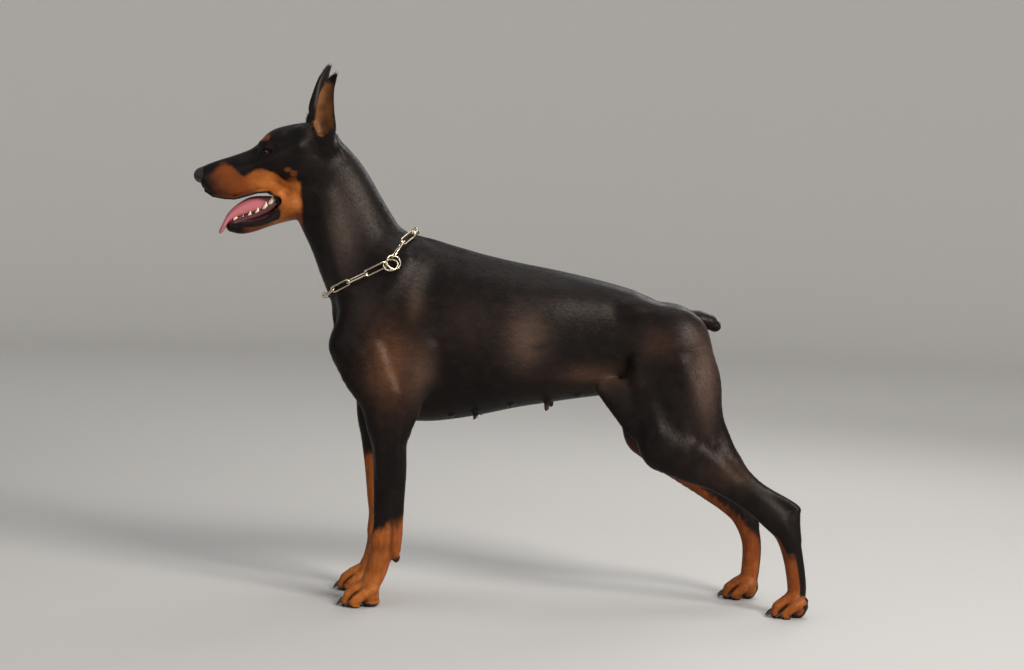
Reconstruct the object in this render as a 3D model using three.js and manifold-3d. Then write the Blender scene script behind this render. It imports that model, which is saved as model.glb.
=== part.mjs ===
// A doberman pinscher bitch standing in show stance with a chain collar, life size, in millimetres.
// X runs from the nose to the tail, Y from the dog's left to its right, and Z up from the floor.
// The flesh is one field of distances, summed from muscles, bones and folds that are named below.
// Its surface is meshed region by region and parted along planes into the named pieces.

import * as THREE from 'three';
import { mergeVertices } from 'three/addons/utils/BufferGeometryUtils.js';
import Module from 'manifold-3d';

const wasm = await Module();
wasm.setup();
const radians = THREE.MathUtils.degToRad;

// Driving dimensions
const GAP = 0.3; // between pieces that meet
const MID_X = -124.4; // middle of the dog's length, which stands over the origin
const HEAD_PITCH = 19.5; // the muzzle points down by this many degrees
const SKULL_BACK = [-500, 0, 873]; // top of the skull at its back, where the head's own frame starts
const EYE_RADIUS = 10.5;
const EYE_PLACE = [72, 31, -35]; // in the head's frame: forward, aside, up
const EAR_LEAF = 4; // thickness of the ear
const TONGUE_GAP = 1.6; // round the tongue
const FORE_HALF_STANCE = 80; // from the middle to the centre of each forefoot
const WIRE = 3.2; // thickness of the collar's wire
const LINK_COUNT = 16;
const LINK_WIDTH = 14.5;
const LINK_ROLL = radians(45); // links lie on the coat turned by this much, one way and the other
const LINK_PLAY = 1.8; // between the wires of two links

// The colours of the coat and of what shows through it
const COLOURS = {
  black: ['#16130f', 0.5, 0],
  rust: ['#9a4a1c', 0.6, 0],
  leather: ['#0d0c0c', 0.35, 0],
  eye: ['#1c0f08', 0.08, 0],
  tongue: ['#c4505c', 0.35, 0],
  steel: ['#c9bfa0', 0.25, 1],
};

function material(name) {
  const [color, roughness, metalness] = COLOURS[name];
  return new THREE.MeshStandardMaterial({ name, color, roughness, metalness });
}

// Small sums on numbers and points
const clamp = THREE.MathUtils.clamp;
const mix = (a, b, t) => a + (b - a) * t;
const aside = (side, [x, y, z]) => [x, side * y, z];

// A smooth curve through the rows of a table, each led by its place, read at one place.
function readTable(rows, at, column) {
  const last = rows.length - 1;
  if (at <= rows[0][0]) return rows[0][column];
  if (at >= rows[last][0]) return rows[last][column];
  let i = 0;
  while (rows[i + 1][0] < at) i += 1;
  const slope = (j) => {
    const a = rows[Math.max(j - 1, 0)];
    const b = rows[Math.min(j + 1, last)];
    return (b[column] - a[column]) / (b[0] - a[0]);
  };
  const wide = rows[i + 1][0] - rows[i][0];
  const t = (at - rows[i][0]) / wide;
  const rise = rows[i + 1][column] - rows[i][column];
  const start = slope(i) * wide;
  const end = slope(i + 1) * wide;
  const bend = 3 * rise - 2 * start - end;
  const turn = start + end - 2 * rise;
  return rows[i][column] + t * (start + t * (bend + t * turn));
}

// Shapes: each gives the distance to its surface, negative inside, and a ball that bounds it

// An ellipsoid, turned in the side plane by pitch and from above by yaw, in degrees.
function ball(centre, radii, pitch = 0, yaw = 0) {
  const turn = new THREE.Matrix3().setFromMatrix4(
    new THREE.Matrix4().makeRotationFromEuler(new THREE.Euler(0, radians(pitch), radians(yaw), 'ZYX')),
  );
  const m = turn.transpose().elements;
  const [cx, cy, cz] = centre;
  const [rx, ry, rz] = radii;
  const distance = (x, y, z) => {
    const px = x - cx;
    const py = y - cy;
    const pz = z - cz;
    const u = (m[0] * px + m[3] * py + m[6] * pz) / rx;
    const v = (m[1] * px + m[4] * py + m[7] * pz) / ry;
    const w = (m[2] * px + m[5] * py + m[8] * pz) / rz;
    const near = Math.hypot(u, v, w);
    const steep = Math.hypot(u / rx, v / ry, w / rz);
    return steep < 1e-9 ? -Math.min(rx, ry, rz) : (near * (near - 1)) / steep;
  };
  return { distance, centre, reach: Math.max(rx, ry, rz) };
}

// A round cord of flesh or bone through points that each end with a radius.
function cord(points) {
  const distance = (x, y, z) => {
    let best = Infinity;
    for (let i = 0; i + 1 < points.length; i += 1) {
      const a = points[i];
      const b = points[i + 1];
      const along = [b[0] - a[0], b[1] - a[1], b[2] - a[2]];
      const square = along[0] ** 2 + along[1] ** 2 + along[2] ** 2;
      const dot = (x - a[0]) * along[0] + (y - a[1]) * along[1] + (z - a[2]) * along[2];
      const t = clamp(dot / square, 0, 1);
      const away = Math.hypot(x - a[0] - t * along[0], y - a[1] - t * along[1], z - a[2] - t * along[2]);
      best = Math.min(best, away - mix(a[3], b[3], t));
    }
    return best;
  };
  return { distance, ...bound(points.map(([x, y, z, r]) => [x, y, z, r])) };
}

// A limb in the side plane: stations of [x, y, z, half depth, half width], smoothed between.
function limb(stations) {
  const fine = refine(stations, 5);
  const distance = (x, y, z) => {
    let best = Infinity;
    for (let i = 0; i + 1 < fine.length; i += 1) {
      const a = fine[i];
      const b = fine[i + 1];
      const dx = b[0] - a[0];
      const dz = b[2] - a[2];
      const t = clamp(((x - a[0]) * dx + (z - a[2]) * dz) / (dx * dx + dz * dz), 0, 1);
      const across = Math.hypot(x - a[0] - t * dx, z - a[2] - t * dz);
      const out = y - mix(a[1], b[1], t);
      const gauge = Math.hypot(across / mix(a[3], b[3], t), out / mix(a[4], b[4], t));
      const away = gauge < 1e-6 ? -mix(a[4], b[4], t) : Math.hypot(across, out) * (1 - 1 / gauge);
      best = Math.min(best, away);
    }
    return best;
  };
  return { distance, ...bound(fine.map(([x, y, z, d, w]) => [x, y, z, Math.max(d, w)])) };
}

// More stations between the given ones, on a smooth curve through them.
function refine(stations, parts) {
  const rows = stations.map((station, i) => [i, ...station]);
  const fine = [];
  for (let i = 0; i <= (stations.length - 1) * parts; i += 1) {
    fine.push(stations[0].map((_, column) => readTable(rows, i / parts, column + 1)));
  }
  return fine;
}

// A ball round balls that are given as [x, y, z, radius].
function bound(balls) {
  const box = new THREE.Box3();
  for (const [x, y, z, r] of balls) {
    box.expandByPoint(new THREE.Vector3(x - r, y - r, z - r));
    box.expandByPoint(new THREE.Vector3(x + r, y + r, z + r));
  }
  const middle = box.getCenter(new THREE.Vector3());
  return { centre: middle.toArray(), reach: box.getSize(new THREE.Vector3()).length() / 2 };
}

// A body drawn by its outline from the side. Each row is [at, low, high, half width, height of the
// widest part from 0 to 1, fullness above it, fullness below it], in a frame that is pitched down.
function profile(origin, pitch, rows) {
  const cos = Math.cos(radians(pitch));
  const sin = Math.sin(radians(pitch));
  const first = rows[0][0];
  const last = rows[rows.length - 1][0];
  const STEPS = 160;
  const table = [];
  for (let i = 0; i <= STEPS; i += 1) {
    const at = mix(first, last, i / STEPS);
    table.push([1, 2, 3, 4, 5, 6].map((column) => readTable(rows, at, column)));
  }
  const distance = (x, y, z) => {
    const dx = origin[0] - x;
    const dz = z - origin[2];
    const at = cos * dx - sin * dz;
    const up = sin * dx + cos * dz;
    const place = clamp((at - first) / (last - first), 0, 1) * STEPS;
    const i = Math.min(Math.floor(place), STEPS - 1);
    const t = place - i;
    const row = table[i].map((value, column) => mix(value, table[i + 1][column], t));
    const [low, high, half, waist, crown, keel] = row;
    const level = mix(low, high, waist);
    const above = up - level;
    const height = above > 0 ? high - level : level - low;
    const power = above > 0 ? crown : keel;
    const gauge = (Math.abs(above / height) ** power + Math.abs(y / half) ** power) ** (1 / power);
    const radial = gauge < 1e-6 ? -Math.min(height, half) : Math.hypot(above, y) * (1 - 1 / gauge);
    const past = Math.max(first - at, at - last, 0);
    return past > 0 ? Math.hypot(Math.max(radial, 0), past) : radial;
  };
  const corners = rows.map(([at, low, high, half]) => {
    const up = (low + high) / 2;
    const wide = Math.max((high - low) / 2, half);
    return [origin[0] - cos * at - sin * up, 0, origin[2] - sin * at + cos * up, wide];
  });
  return { distance, ...bound(corners) };
}

// A leaf with oval sections along an axis: rows of [share of the way, half along, half across, sideways].
function leaf(base, tip, open, rows, shift, flip) {
  const axis = new THREE.Vector3(...tip).sub(new THREE.Vector3(...base));
  const long = axis.length();
  axis.normalize();
  const face = new THREE.Vector3(...open);
  face.addScaledVector(axis, -face.dot(axis)).normalize();
  const edge = new THREE.Vector3().crossVectors(axis, face);
  const distance = (x, y, z) => {
    const px = x - base[0] - shift * face.x;
    const py = y - base[1] - shift * face.y;
    const pz = z - base[2] - shift * face.z;
    const along = px * axis.x + py * axis.y + pz * axis.z;
    const t = clamp(along / long, rows[0][0], 1);
    const a = px * edge.x + py * edge.y + pz * edge.z - flip * readTable(rows, t, 3);
    const b = px * face.x + py * face.y + pz * face.z;
    const gauge = Math.hypot(a / readTable(rows, t, 1), b / readTable(rows, t, 2));
    const radial = gauge < 1e-6 ? -readTable(rows, t, 2) : Math.hypot(a, b) * (1 - 1 / gauge);
    const past = Math.abs(along - t * long);
    return past > 1e-6 ? Math.hypot(Math.max(radial, 0), past) : radial;
  };
  const wide = Math.max(...rows.map((row) => Math.max(row[1], row[2]) + Math.abs(row[3]))) + Math.abs(shift);
  return { distance, ...bound([[...base, wide], [...tip, wide]]) };
}

// The field of flesh: shapes that join or are carved away one after the other, each with a soft edge

const FAR_AWAY = 1e3;

class Flesh {
  constructor() {
    this.steps = [];
  }

  join(soft, ...shapes) {
    for (const shape of shapes) this.steps.push({ sign: 1, soft, ...shape });
    return this;
  }

  carve(soft, ...shapes) {
    for (const shape of shapes) this.steps.push({ sign: -1, soft, ...shape });
    return this;
  }

  distance(x, y, z) {
    let d = FAR_AWAY;
    for (const { sign, soft, distance, centre, reach } of this.steps) {
      const least = Math.hypot(x - centre[0], y - centre[1], z - centre[2]) - reach;
      if (least > sign * d + soft) continue;
      const other = distance(x, y, z);
      const overlap = Math.max(soft - Math.abs(sign * d - other), 0);
      d = sign * (Math.min(sign * d, other) - (overlap * overlap) / (4 * soft));
    }
    return d;
  }
}

// Torso

// Rows of [x, keel, back, half width, height of the widest part, fullness above, fullness below].
const TORSO = [
  [-429, 458, 520, 22, 0.5, 2, 2],
  [-417, 424, 552, 46, 0.5, 2, 2],
  [-398, 384, 596, 70, 0.5, 2, 1.9],
  [-360, 345, 640, 84, 0.48, 1.9, 1.8],
  [-310, 331, 664, 92, 0.46, 1.8, 1.8],
  [-263, 329, 666, 97, 0.46, 1.75, 1.8],
  [-220, 333, 655, 101, 0.47, 1.85, 1.85],
  [-160, 344, 639, 104, 0.48, 2, 1.9],
  [-100, 358, 626, 103, 0.5, 2.1, 2],
  [-40, 369, 616, 97, 0.52, 2.2, 2],
  [20, 379, 604, 85, 0.55, 2.3, 2],
  [80, 388, 590, 74, 0.6, 2.3, 2],
  [135, 400, 572, 68, 0.62, 2.3, 2],
  [176, 425, 553, 60, 0.6, 2.2, 2],
  [204, 452, 543, 44, 0.6, 2, 2],
  [224, 478, 530, 26, 0.6, 2, 2],
];
// Teats as [x, aside, z of the skin, drop, half width], and how far back the right ones stand
const TEATS = [
  [-216, 34, 337, -1, 3.6],
  [-172, 40, 343, 9, 4.6],
  [-108, 42, 360, 0, 3.8],
  [-42, 38, 371, 15, 6],
  [14, 30, 380, 0, 3.8],
];
const TEAT_SHIFT = 9;

function torso(flesh) {
  flesh.join(1, profile([0, 0, 0], 0, TORSO.map(([x, ...row]) => [-x, ...row]).reverse()));
  for (const side of [-1, 1]) {
    flesh.join(24, ball(aside(side, [-408, 26, 470]), [23, 30, 50], 12));
    flesh.join(24, ball(aside(side, [118, 46, 545]), [36, 24, 22]));
    flesh.join(20, cord([[...aside(side, [-200, 22, 620]), 16], [...aside(side, [100, 26, 556]), 18]]));
    const fold = [[66, side * 56, 402, 20, 10], [98, side * 66, 384, 34, 11], [124, side * 78, 352, 34, 14]];
    flesh.join(20, limb(fold));
    for (const [x, y, z, drop, wide] of TEATS) {
      const at = x + (side > 0 ? TEAT_SHIFT : 0);
      flesh.join(9, cord([[at, side * y, z + 9, wide * 1.2], [at, side * y, z - drop + wide, wide * 0.94]]));
    }
  }
}

// Neck: stations of [x, y, z, half depth, half width]
const NECK = [
  [-462, 0, 768, 75, 46],
  [-444, 0, 742, 77, 49],
  [-426, 0, 709, 78, 51],
  [-405, 0, 668, 79, 55],
  [-386, 0, 630, 83, 62],
  [-365, 0, 600, 91, 70],
  [-341, 0, 570, 102, 80],
];

function neck(flesh) {
  flesh.join(34, limb(NECK));
  flesh.join(20, cord([[-420, 0, 786, 20], [-380, 0, 728, 20], [-330, 0, 662, 20]]));
  for (const side of [-1, 1]) {
    const strap = [[-452, side * 37, 740, 12], [-430, side * 39, 660, 16], [-402, side * 46, 560, 21]];
    flesh.join(22, cord(strap));
  }
}

// Tail: a docked stub
const TAIL = [[205, 0, 528, 20], [232, 0, 529, 18], [252, 0, 525, 15.5], [262, 0, 518, 12]];

// How far the right foreleg stands before the left one, by height
const FORE_SHIFT = [
  [0, 19],
  [40, 14],
  [80, 11],
  [120, 14],
  [180, 21],
  [240, 26],
  [300, 30],
  [380, 20],
  [470, 0],
];

// Foreleg of the left side: its joints, and what lies over them
const FORE = {
  bladeTop: [-292, 34, 622],
  bladePoint: [-395, 70, 474],
  paw: [-368, FORE_HALF_STANCE + 2, 0],
};

// Muscles that show through the short coat, of the left side: softness, then a line of [x, y, z, half width]
const FORE_MUSCLES = [
  [14, [[-300, 58, 628, 12], [-340, 81, 560, 14], [-372, 86, 500, 13]]], // ridge of the shoulder blade
  [15, [[-262, 82, 470, 20], [-282, 84, 425, 24], [-292, 92, 388, 16]]], // triceps
  [13, [[-354, 84, 468, 14], [-338, 87, 428, 16], [-322, 99, 392, 12]]], // upper arm
  [9, [[-345, 102, 362, 9], [-343, 98, 310, 9], [-338, 94, 240, 6]]], // front and back of the forearm
  [9, [[-306, 101, 352, 8], [-309, 97, 300, 7], [-309, 93, 230, 5]]],
];

function foreleg(flesh, side) {
  const shift = (z) => (side > 0 ? readTable(FORE_SHIFT, z, 1) : 0);
  const place = (x, y, z) => aside(side, [x - shift(z), y, z]);
  flesh.join(34, limb([
    [...aside(side, FORE.bladeTop), 30, 16],
    [...aside(side, [-335, 56, 570]), 52, 24],
    [...aside(side, [-375, 66, 505]), 48, 28],
    [...aside(side, FORE.bladePoint), 36, 28],
  ]));
  flesh.join(26, limb([
    [...aside(side, [-398, 68, 470]), 34, 28],
    [...aside(side, [-365, 76, 420]), 46, 27],
    [...place(-318, 82, 372), 40, 24],
  ]));
  flesh.join(26, limb([
    [...aside(side, [-282, 68, 520]), 34, 18],
    [...aside(side, [-290, 80, 440]), 40, 22],
    [...place(-290, 86, 372), 20, 17],
  ]));
  const elbow = [[...place(-283, 86, 372), 11], [...place(-282, 86, 350), 10], [...place(-300, 84, 322), 12]];
  flesh.join(10, cord(elbow));
  flesh.join(22, limb([
    [...place(-338, 82, 380), 38, 26],
    [...place(-330, 83, 335), 38, 27],
    [...place(-324, 82, 290), 32, 24.5],
    [...place(-322, 81, 235), 30.5, 21],
    [...place(-325, 80, 180), 26.5, 18.5],
    [...place(-328, 80, 150), 23.5, 19],
    [...place(-331, 80, 120), 23.5, 21],
    [...place(-338, 80, 90), 22, 20.5],
    [...place(-345, 80, 62), 20.5, 20],
    [...place(-353, 81, 42), 19, 22],
  ]));
  const sinew = [[-307, 82, 215, 6], [-304, 82, 170, 7], [-305, 82, 130, 8], [-308, 82, 104, 8.5]];
  flesh.join(14, cord(sinew.map(([x, y, z, r]) => [...place(x, y, z), r])));
  flesh.join(6, ball(place(-308, 84, 90), [8, 7, 9]));
  flesh.join(14, ball(place(-345, 69, 116), [9, 7, 14]), ball(place(-344, 91, 124), [9, 7, 14]));
  for (const [soft, line] of FORE_MUSCLES) {
    flesh.join(soft, cord(line.map(([x, y, z, r]) => [...place(x, y, z), r])));
  }
  foot(flesh, place(...FORE.paw), FORE_FOOT, side);
}

// Feet: toes as [reach forward, aside, knuckle height], of the inner to the outer side
const FORE_FOOT = {
  toes: [[15, -23, 25], [29, -8.5, 31], [29, 9, 31], [14, 24, 25]],
  radius: 10,
  heel: -16,
  pad: 17,
};
const HIND_FOOT = {
  toes: [[15, -21, 24], [30, -8, 30], [30, 8.5, 30], [14, 22, 24]],
  radius: 9.5,
  heel: -11,
  pad: 14,
};
const CLAW = { long: 15, root: 4, tip: 1.1 };

function foot(flesh, [x, y, z], { toes, radius, heel, pad }, side) {
  flesh.join(8, ball([x + 8, y, z + 24], [24, 25, 19], 20));
  for (const [reach, across, knuckle] of toes) {
    const toe = (forward, share, up, r) => [x - forward, y + side * across * share, z + up, r];
    flesh.join(3.8, cord([
      toe(reach - 34, 0.62, knuckle + 8, radius * 1.02),
      toe(reach - 19, 0.92, knuckle, radius),
      toe(reach - 5, 1, knuckle - 11, radius * 0.98),
      toe(reach, 1, radius * 0.92, radius * 0.9),
    ]));
    flesh.join(2.5, ball([x - reach + 3, y + side * across, z + 4], [10, radius * 0.8, 7]));
  }
  flesh.join(7, ball([x - heel, y, z + 8], [pad, pad * 1.2, 10]));
}

// Claws are fused to the toes as round tapered pieces of few sides.
function claws([x, y, z], { toes, radius }, side, forward) {
  return toes.map(([reach, across]) => {
    const root = [x - forward - reach - radius * 0.35, y + side * across, z + radius * 1.25];
    const middle = [root[0] - CLAW.long * 0.5, root[1], root[2] - 2.5];
    const tip = [root[0] - CLAW.long * 0.86, root[1], z + 2.2];
    return tube([root, middle, tip], [CLAW.root, CLAW.root * 0.75, CLAW.tip], 5);
  });
}

// Hind leg: the joints of the left side, and those of the right one, which stands further forward
const HIND = {
  left: {
    stifle: [164, 84, 290],
    calf: [268, 84, 262],
    shin: [328, 86, 217],
    hock: [398, 88, 152],
    cannon: [410, 88, 106],
    ankle: [418, 88, 52],
    heel: [414, 88, 200],
    paw: [409, 90, 0],
  },
  right: {
    stifle: [142, 84, 296],
    calf: [216, 84, 256],
    shin: [272, 86, 208],
    hock: [338, 88, 152],
    cannon: [351, 88, 106],
    ankle: [350, 88, 52],
    heel: [354, 88, 198],
    paw: [336, 90, 0],
  },
};

// The last value is the share of the right leg's step forward that the place takes part in.
const HIND_MUSCLES = [
  [16, [[126, 71, 452, 20, 0], [138, 75, 390, 24, 0.1], [156, 89, 330, 18, 0.4]]], // front of the thigh
  [15, [[196, 84, 452, 16, 0.1], [222, 84, 400, 18, 0.15], [238, 85, 350, 16, 0.5], [252, 88, 312, 12, 0.8]]],
  [12, [[232, 92, 300, 14, 0.8], [270, 93, 268, 14, 1], [300, 93, 240, 10, 1]]], // calf
];

function hindleg(flesh, side) {
  const at = side < 0 ? HIND.left : HIND.right;
  const bone = (name) => aside(side, at[name]);
  const names = ['stifle', 'calf', 'shin', 'hock', 'cannon', 'ankle', 'heel'];
  const [stifle, calf, shin, hock, cannon, ankle, heel] = names.map(bone);
  const lean = side < 0 ? 0 : -12;
  const back = at.calf[0] - HIND.left.calf[0];
  flesh.join(26, ball(aside(side, [182, 50, 490]), [64, 38, 52], -20));
  flesh.join(30, limb([
    [...aside(side, [178, 56, 490]), 62, 32],
    [...aside(side, [186 + lean * 0.3, 66, 430]), 80, 34],
    [...aside(side, [188 + lean * 0.6, 72, 372]), 78, 30],
    [...aside(side, [186 + lean, 78, 324]), 58, 24],
  ]));
  flesh.join(24, limb([
    [...aside(side, [216, 34, 468]), 22, 22],
    [...aside(side, [242 + back * 0.15, 52, 426]), 23, 28],
    [...aside(side, [246 + back * 0.45, 66, 370]), 26, 26],
    [...aside(side, [266 + back * 0.8, 76, 314]), 28, 18],
    [...aside(side, [288 + back, 80, 280]), 22, 13],
  ]));
  flesh.join(20, ball([stifle[0] - 6, stifle[1], stifle[2] + 24], [28, 21, 34], 20));
  flesh.join(22, limb([
    [stifle[0] + 6, stifle[1], stifle[2] + 4, 36, 24],
    [mix(stifle[0], calf[0], 0.5) + 6, calf[1], mix(stifle[2], calf[2], 0.5) + 4, 42, 25],
    [calf[0], calf[1], calf[2], 38, 21],
    [shin[0], shin[1], shin[2], 26, 15],
    [hock[0] - 26, hock[1], hock[2] + 28, 25, 15],
    [hock[0] - 2, hock[1], hock[2], 22.5, 16.5],
    [cannon[0], cannon[1], cannon[2], 19, 15],
    [ankle[0], ankle[1], ankle[2], 18, 17],
    [ankle[0] - 4, ankle[1], 34, 18, 20],
  ]));
  flesh.join(12, limb([
    [calf[0] + 20, calf[1], calf[2] + 24, 13, 13],
    [mix(calf[0], heel[0], 0.5), calf[1] + side, mix(calf[2], heel[2], 0.5) + 9, 8, 7.5],
    [heel[0] - 8, heel[1], heel[2] + 2, 9, 8],
    [heel[0] - 4, heel[1], heel[2] - 14, 11, 10],
    [mix(heel[0], cannon[0], 0.6), heel[1], mix(heel[2], cannon[2], 0.6), 10, 11],
  ]));
  flesh.join(10, limb([
    [mix(calf[0], heel[0], 0.35), calf[1], mix(calf[2], heel[2], 0.35) - 4, 14, 9],
    [heel[0] - 22, heel[1], heel[2] - 10, 14, 7],
    [heel[0] - 12, heel[1], heel[2] - 22, 12, 9],
  ]));
  for (const [soft, line] of HIND_MUSCLES) {
    flesh.join(soft, cord(line.map(([x, y, z, r, share]) => [x + back * share, side * y, z, r])));
  }
  foot(flesh, bone('paw'), HIND_FOOT, side);
}

// Head, in a frame of its own: forward from the back of the skull, aside, and up from the skull's top

function onHead(forward, across, up) {
  const cos = Math.cos(radians(HEAD_PITCH));
  const sin = Math.sin(radians(HEAD_PITCH));
  return [SKULL_BACK[0] - cos * forward - sin * up, across, SKULL_BACK[2] - sin * forward + cos * up];
}

const SKULL = [
  [-52, -84, -40, 22, 0.5, 2, 2],
  [-34, -96, -22, 36, 0.5, 2, 2],
  [-14, -104, -7, 45, 0.55, 2.2, 2],
  [8, -108, -1, 52, 0.58, 2.4, 2],
  [34, -106, 2, 54, 0.6, 2.5, 2.1],
  [54, -103, 1.5, 49, 0.6, 2.5, 2.2],
  [72, -100, -4, 42, 0.58, 2.3, 2.3],
  [88, -97, -15, 35, 0.5, 2.2, 2.4],
  [104, -90, -27, 27, 0.5, 2.2, 2.4],
  [118, -80, -36, 18, 0.5, 2.2, 2.4],
];
const MUZZLE = [
  [72, -94, -24, 30, 0.42, 2.2, 2.6],
  [88, -99, -21, 34, 0.42, 2.2, 2.8],
  [106, -101, -20, 34.5, 0.4, 2.3, 3],
  [140, -100, -20.5, 33.5, 0.4, 2.4, 3],
  [165, -96, -20, 31.5, 0.42, 2.4, 2.8],
  [185, -88, -20.5, 29, 0.45, 2.3, 2.5],
  [200, -76, -22, 25, 0.5, 2.2, 2.2],
  [209, -62, -24, 18, 0.55, 2, 2],
];
const JAW = [
  [-624, 0, 678, 11, 13],
  [-606, 0, 678.5, 14.5, 19],
  [-584, 0, 682, 13, 23],
  [-560, 0, 691, 13, 28],
  [-536, 0, 706, 20, 35],
  [-514, 0, 722, 30, 42],
];
const TONGUE = [
  [-546, 0, 722, 13, 20],
  [-568, 0, 720, 15, 20],
  [-588, 0, 717, 15.5, 19.5],
  [-609, 0, 708, 12.5, 18],
  [-624, 0, 699, 8.5, 17],
  [-633, 0, 689, 5.4, 16.5],
  [-638, 0, 680, 4.4, 16],
  [-643, 0, 671, 3.6, 13.5],
  [-646, 0, 666, 2.6, 9],
];
// Edge of the upper lip as [forward, aside, up, half width] in the head's frame
const UPPER_LIP = [
  [206, 8, -66, 3.4],
  [195, 17, -79, 3.4],
  [175, 24, -89.5, 3.4],
  [158, 27, -95.5, 3.6],
  [145, 28, -96, 3.6],
  [133, 28.5, -96.5, 3.6],
  [117, 29.5, -97, 3.8],
  [97, 31, -102, 4],
  [87, 31.5, -110, 4.2],
  [83, 31, -121, 4.4],
];
// Edge of the lower lip and ridge of the gum as [x, y, z, half width]
const LOWER_LIP = [
  [-536, 31, 726, 4.6],
  [-534, 30.5, 711, 4.8],
  [-542, 29, 699, 4.8],
  [-556, 27, 691, 4.8],
  [-571, 24.5, 687, 4.6],
  [-586, 22, 684.5, 4.6],
  [-604, 18, 684, 4.6],
  [-618, 12, 684, 4.4],
  [-626, 4, 683, 4],
];
const GUM = [
  [-544, 24, 722, 6.5],
  [-559, 22, 710, 6],
  [-576, 19.5, 701, 5.5],
  [-589, 17.5, 696, 5.5],
  [-603, 15.5, 692, 5.5],
  [-616, 11.5, 688, 5],
  [-624, 5, 686, 4.4],
];
// Floor of the mouth, under the tongue, as [x, y, z, half depth, half width]
const MOUTH_FLOOR = [
  [-540, 0, 707, 12, 28],
  [-560, 0, 694, 9, 25],
  [-576, 0, 687, 8, 22],
  [-590, 0, 683, 7, 19],
  [-604, 0, 681, 6, 16],
  [-620, 0, 680, 5, 9],
];

function head(flesh) {
  flesh.join(20, profile(SKULL_BACK, HEAD_PITCH, SKULL));
  flesh.join(16, profile(SKULL_BACK, HEAD_PITCH, MUZZLE));
  flesh.join(3, ball(onHead(205, 0, -37), [15, 19, 15], HEAD_PITCH));
  const cheek = [[88, 35, -50, 8], [60, 49, -50, 9], [18, 53, -44, 9]];
  const bridge = [[128, 22, -52, 9], [98, 28, -54, 12], [68, 36, -56, 12]];
  const brow = [[80, 23, -18, 6], [66, 33, -18, 7], [47, 40, -27, 6]];
  for (const side of [-1, 1]) {
    const line = (points) => cord(points.map(([u, y, v, r]) => [...onHead(u, side * y, v), r]));
    flesh.join(18, ball(onHead(28, side * 42, -62), [36, 16, 34], HEAD_PITCH));
    flesh.join(12, line(cheek));
    flesh.join(18, line(bridge));
    flesh.join(12, line(brow));
    flesh.join(14, ball(onHead(4, side * 42, -34), [24, 14, 26], HEAD_PITCH));
  }
}

// An open mouth between two lips, with a ridge of gum for the lower teeth.
function mouth(flesh) {
  const corner = [[-570, 25, 753, 7], [-552, 27, 750, 10], [-537, 28, 740, 13], [-526, 28, 722, 15]];
  for (const side of [-1, 1]) flesh.join(8, cord(corner.map(([x, y, z, r]) => [x, side * y, z, r])));
  const throat = [[-512, 0, 722, 10, 16], [-545, 0, 728, 9, 20], [-580, 0, 724, 9, 21]];
  flesh.carve(3, limb([...throat, [-610, 0, 718, 11, 20], [-636, 0, 716, 9, 17]]));
  const gape = [[-540, 0, 727, 12, 60], [-556, 0, 722, 17, 60], [-584, 0, 712, 19.5, 60]];
  flesh.carve(2, limb([...gape, [-620, 0, 706.5, 18, 60], [-660, 0, 698, 24, 60]]));
  flesh.carve(8, limb([[-556, 0, 742, 10, 17], [-600, 0, 738, 12, 17], [-640, 0, 738, 10, 14]]));
  flesh.join(3, limb(MOUTH_FLOOR));
  for (const side of [-1, 1]) {
    flesh.join(3, cord(GUM.map(([x, y, z, r]) => [x, side * y, z, r])));
    flesh.join(4, cord(UPPER_LIP.map(([u, y, v, r]) => [...onHead(u, side * y, v), r])));
    flesh.join(3, cord(LOWER_LIP.map(([x, y, z, r]) => [x, side * y, z, r])));
  }
}

// The lids wrap the eyeball and part in an almond that rises towards the back.
function eyes(flesh) {
  const [forward, across, up] = EYE_PLACE;
  const lids = [EYE_RADIUS + 4.4, EYE_RADIUS + 1.8, EYE_RADIUS + 2.4];
  for (const side of [-1, 1]) {
    flesh.join(12, ball(onHead(forward, side * across, up), lids));
    flesh.carve(1.2, ball(onHead(forward, side * (across + EYE_RADIUS), up), [10, 9, 4.2], HEAD_PITCH - 12));
  }
}

// Nostrils with their slits, and the groove between them.
function nose(flesh) {
  const nostril = [[222, 6, -36, 4], [210, 8, -36, 3.6], [201, 16, -40, 2.2], [195, 20, -40, 1.6]];
  for (const side of [-1, 1]) {
    flesh.carve(2, cord(nostril.map(([u, y, v, r]) => [...onHead(u, side * y, v), r])));
  }
  flesh.carve(2, cord([[...onHead(223, 0, -40), 1.6], [...onHead(216, 0, -66), 1.6]]));
}

// Ears: cropped and erect, each a leaf folded into a cup that opens forward and outward
const EARS = {
  left: { base: [-460, -38, 826], tip: [-434, -66, 957], open: [-0.55, -1, 0.1] },
  right: { base: [-482, 36, 834], tip: [-455, 60, 976], open: [-1, 0.75, 0.1] },
};
const EAR = [
  [0, 12, 10, 0],
  [0.16, 22, 16, -1],
  [0.3, 25, 17.5, -4],
  [0.48, 21.5, 13.5, -9],
  [0.66, 17.5, 9.5, -12],
  [0.8, 13.5, 7, -11],
  [0.9, 10, 5.5, -7],
  [0.97, 6.5, 4, -3],
  [1, 2.8, 2.6, 1],
];
const CUP = [
  [0.18, 10, 9, -1.3],
  [0.32, 20, 15, -4.6],
  [0.5, 17.5, 12, -9.4],
  [0.7, 12.5, 8.5, -12],
  [0.84, 8, 6, -9.8],
  [0.93, 4.2, 4, -5.4],
  [1, 1.2, 2, 1],
];
const EAR_ROOT = 0.3; // share of the ear's length below which it belongs to the head

function ear(flesh, side) {
  const { base, tip, open } = side < 0 ? EARS.left : EARS.right;
  flesh.join(14, ball([base[0] - 1, base[1] * 0.9, base[2] + 8], [25, 18, 22], 10));
  flesh.join(9, leaf(base, tip, open, EAR, 0, -side));
  flesh.carve(2.5, leaf(base, tip, open, CUP, EAR_LEAF + 1, -side));
}

// Surface of a field by marching tetrahedra, which always closes

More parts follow.
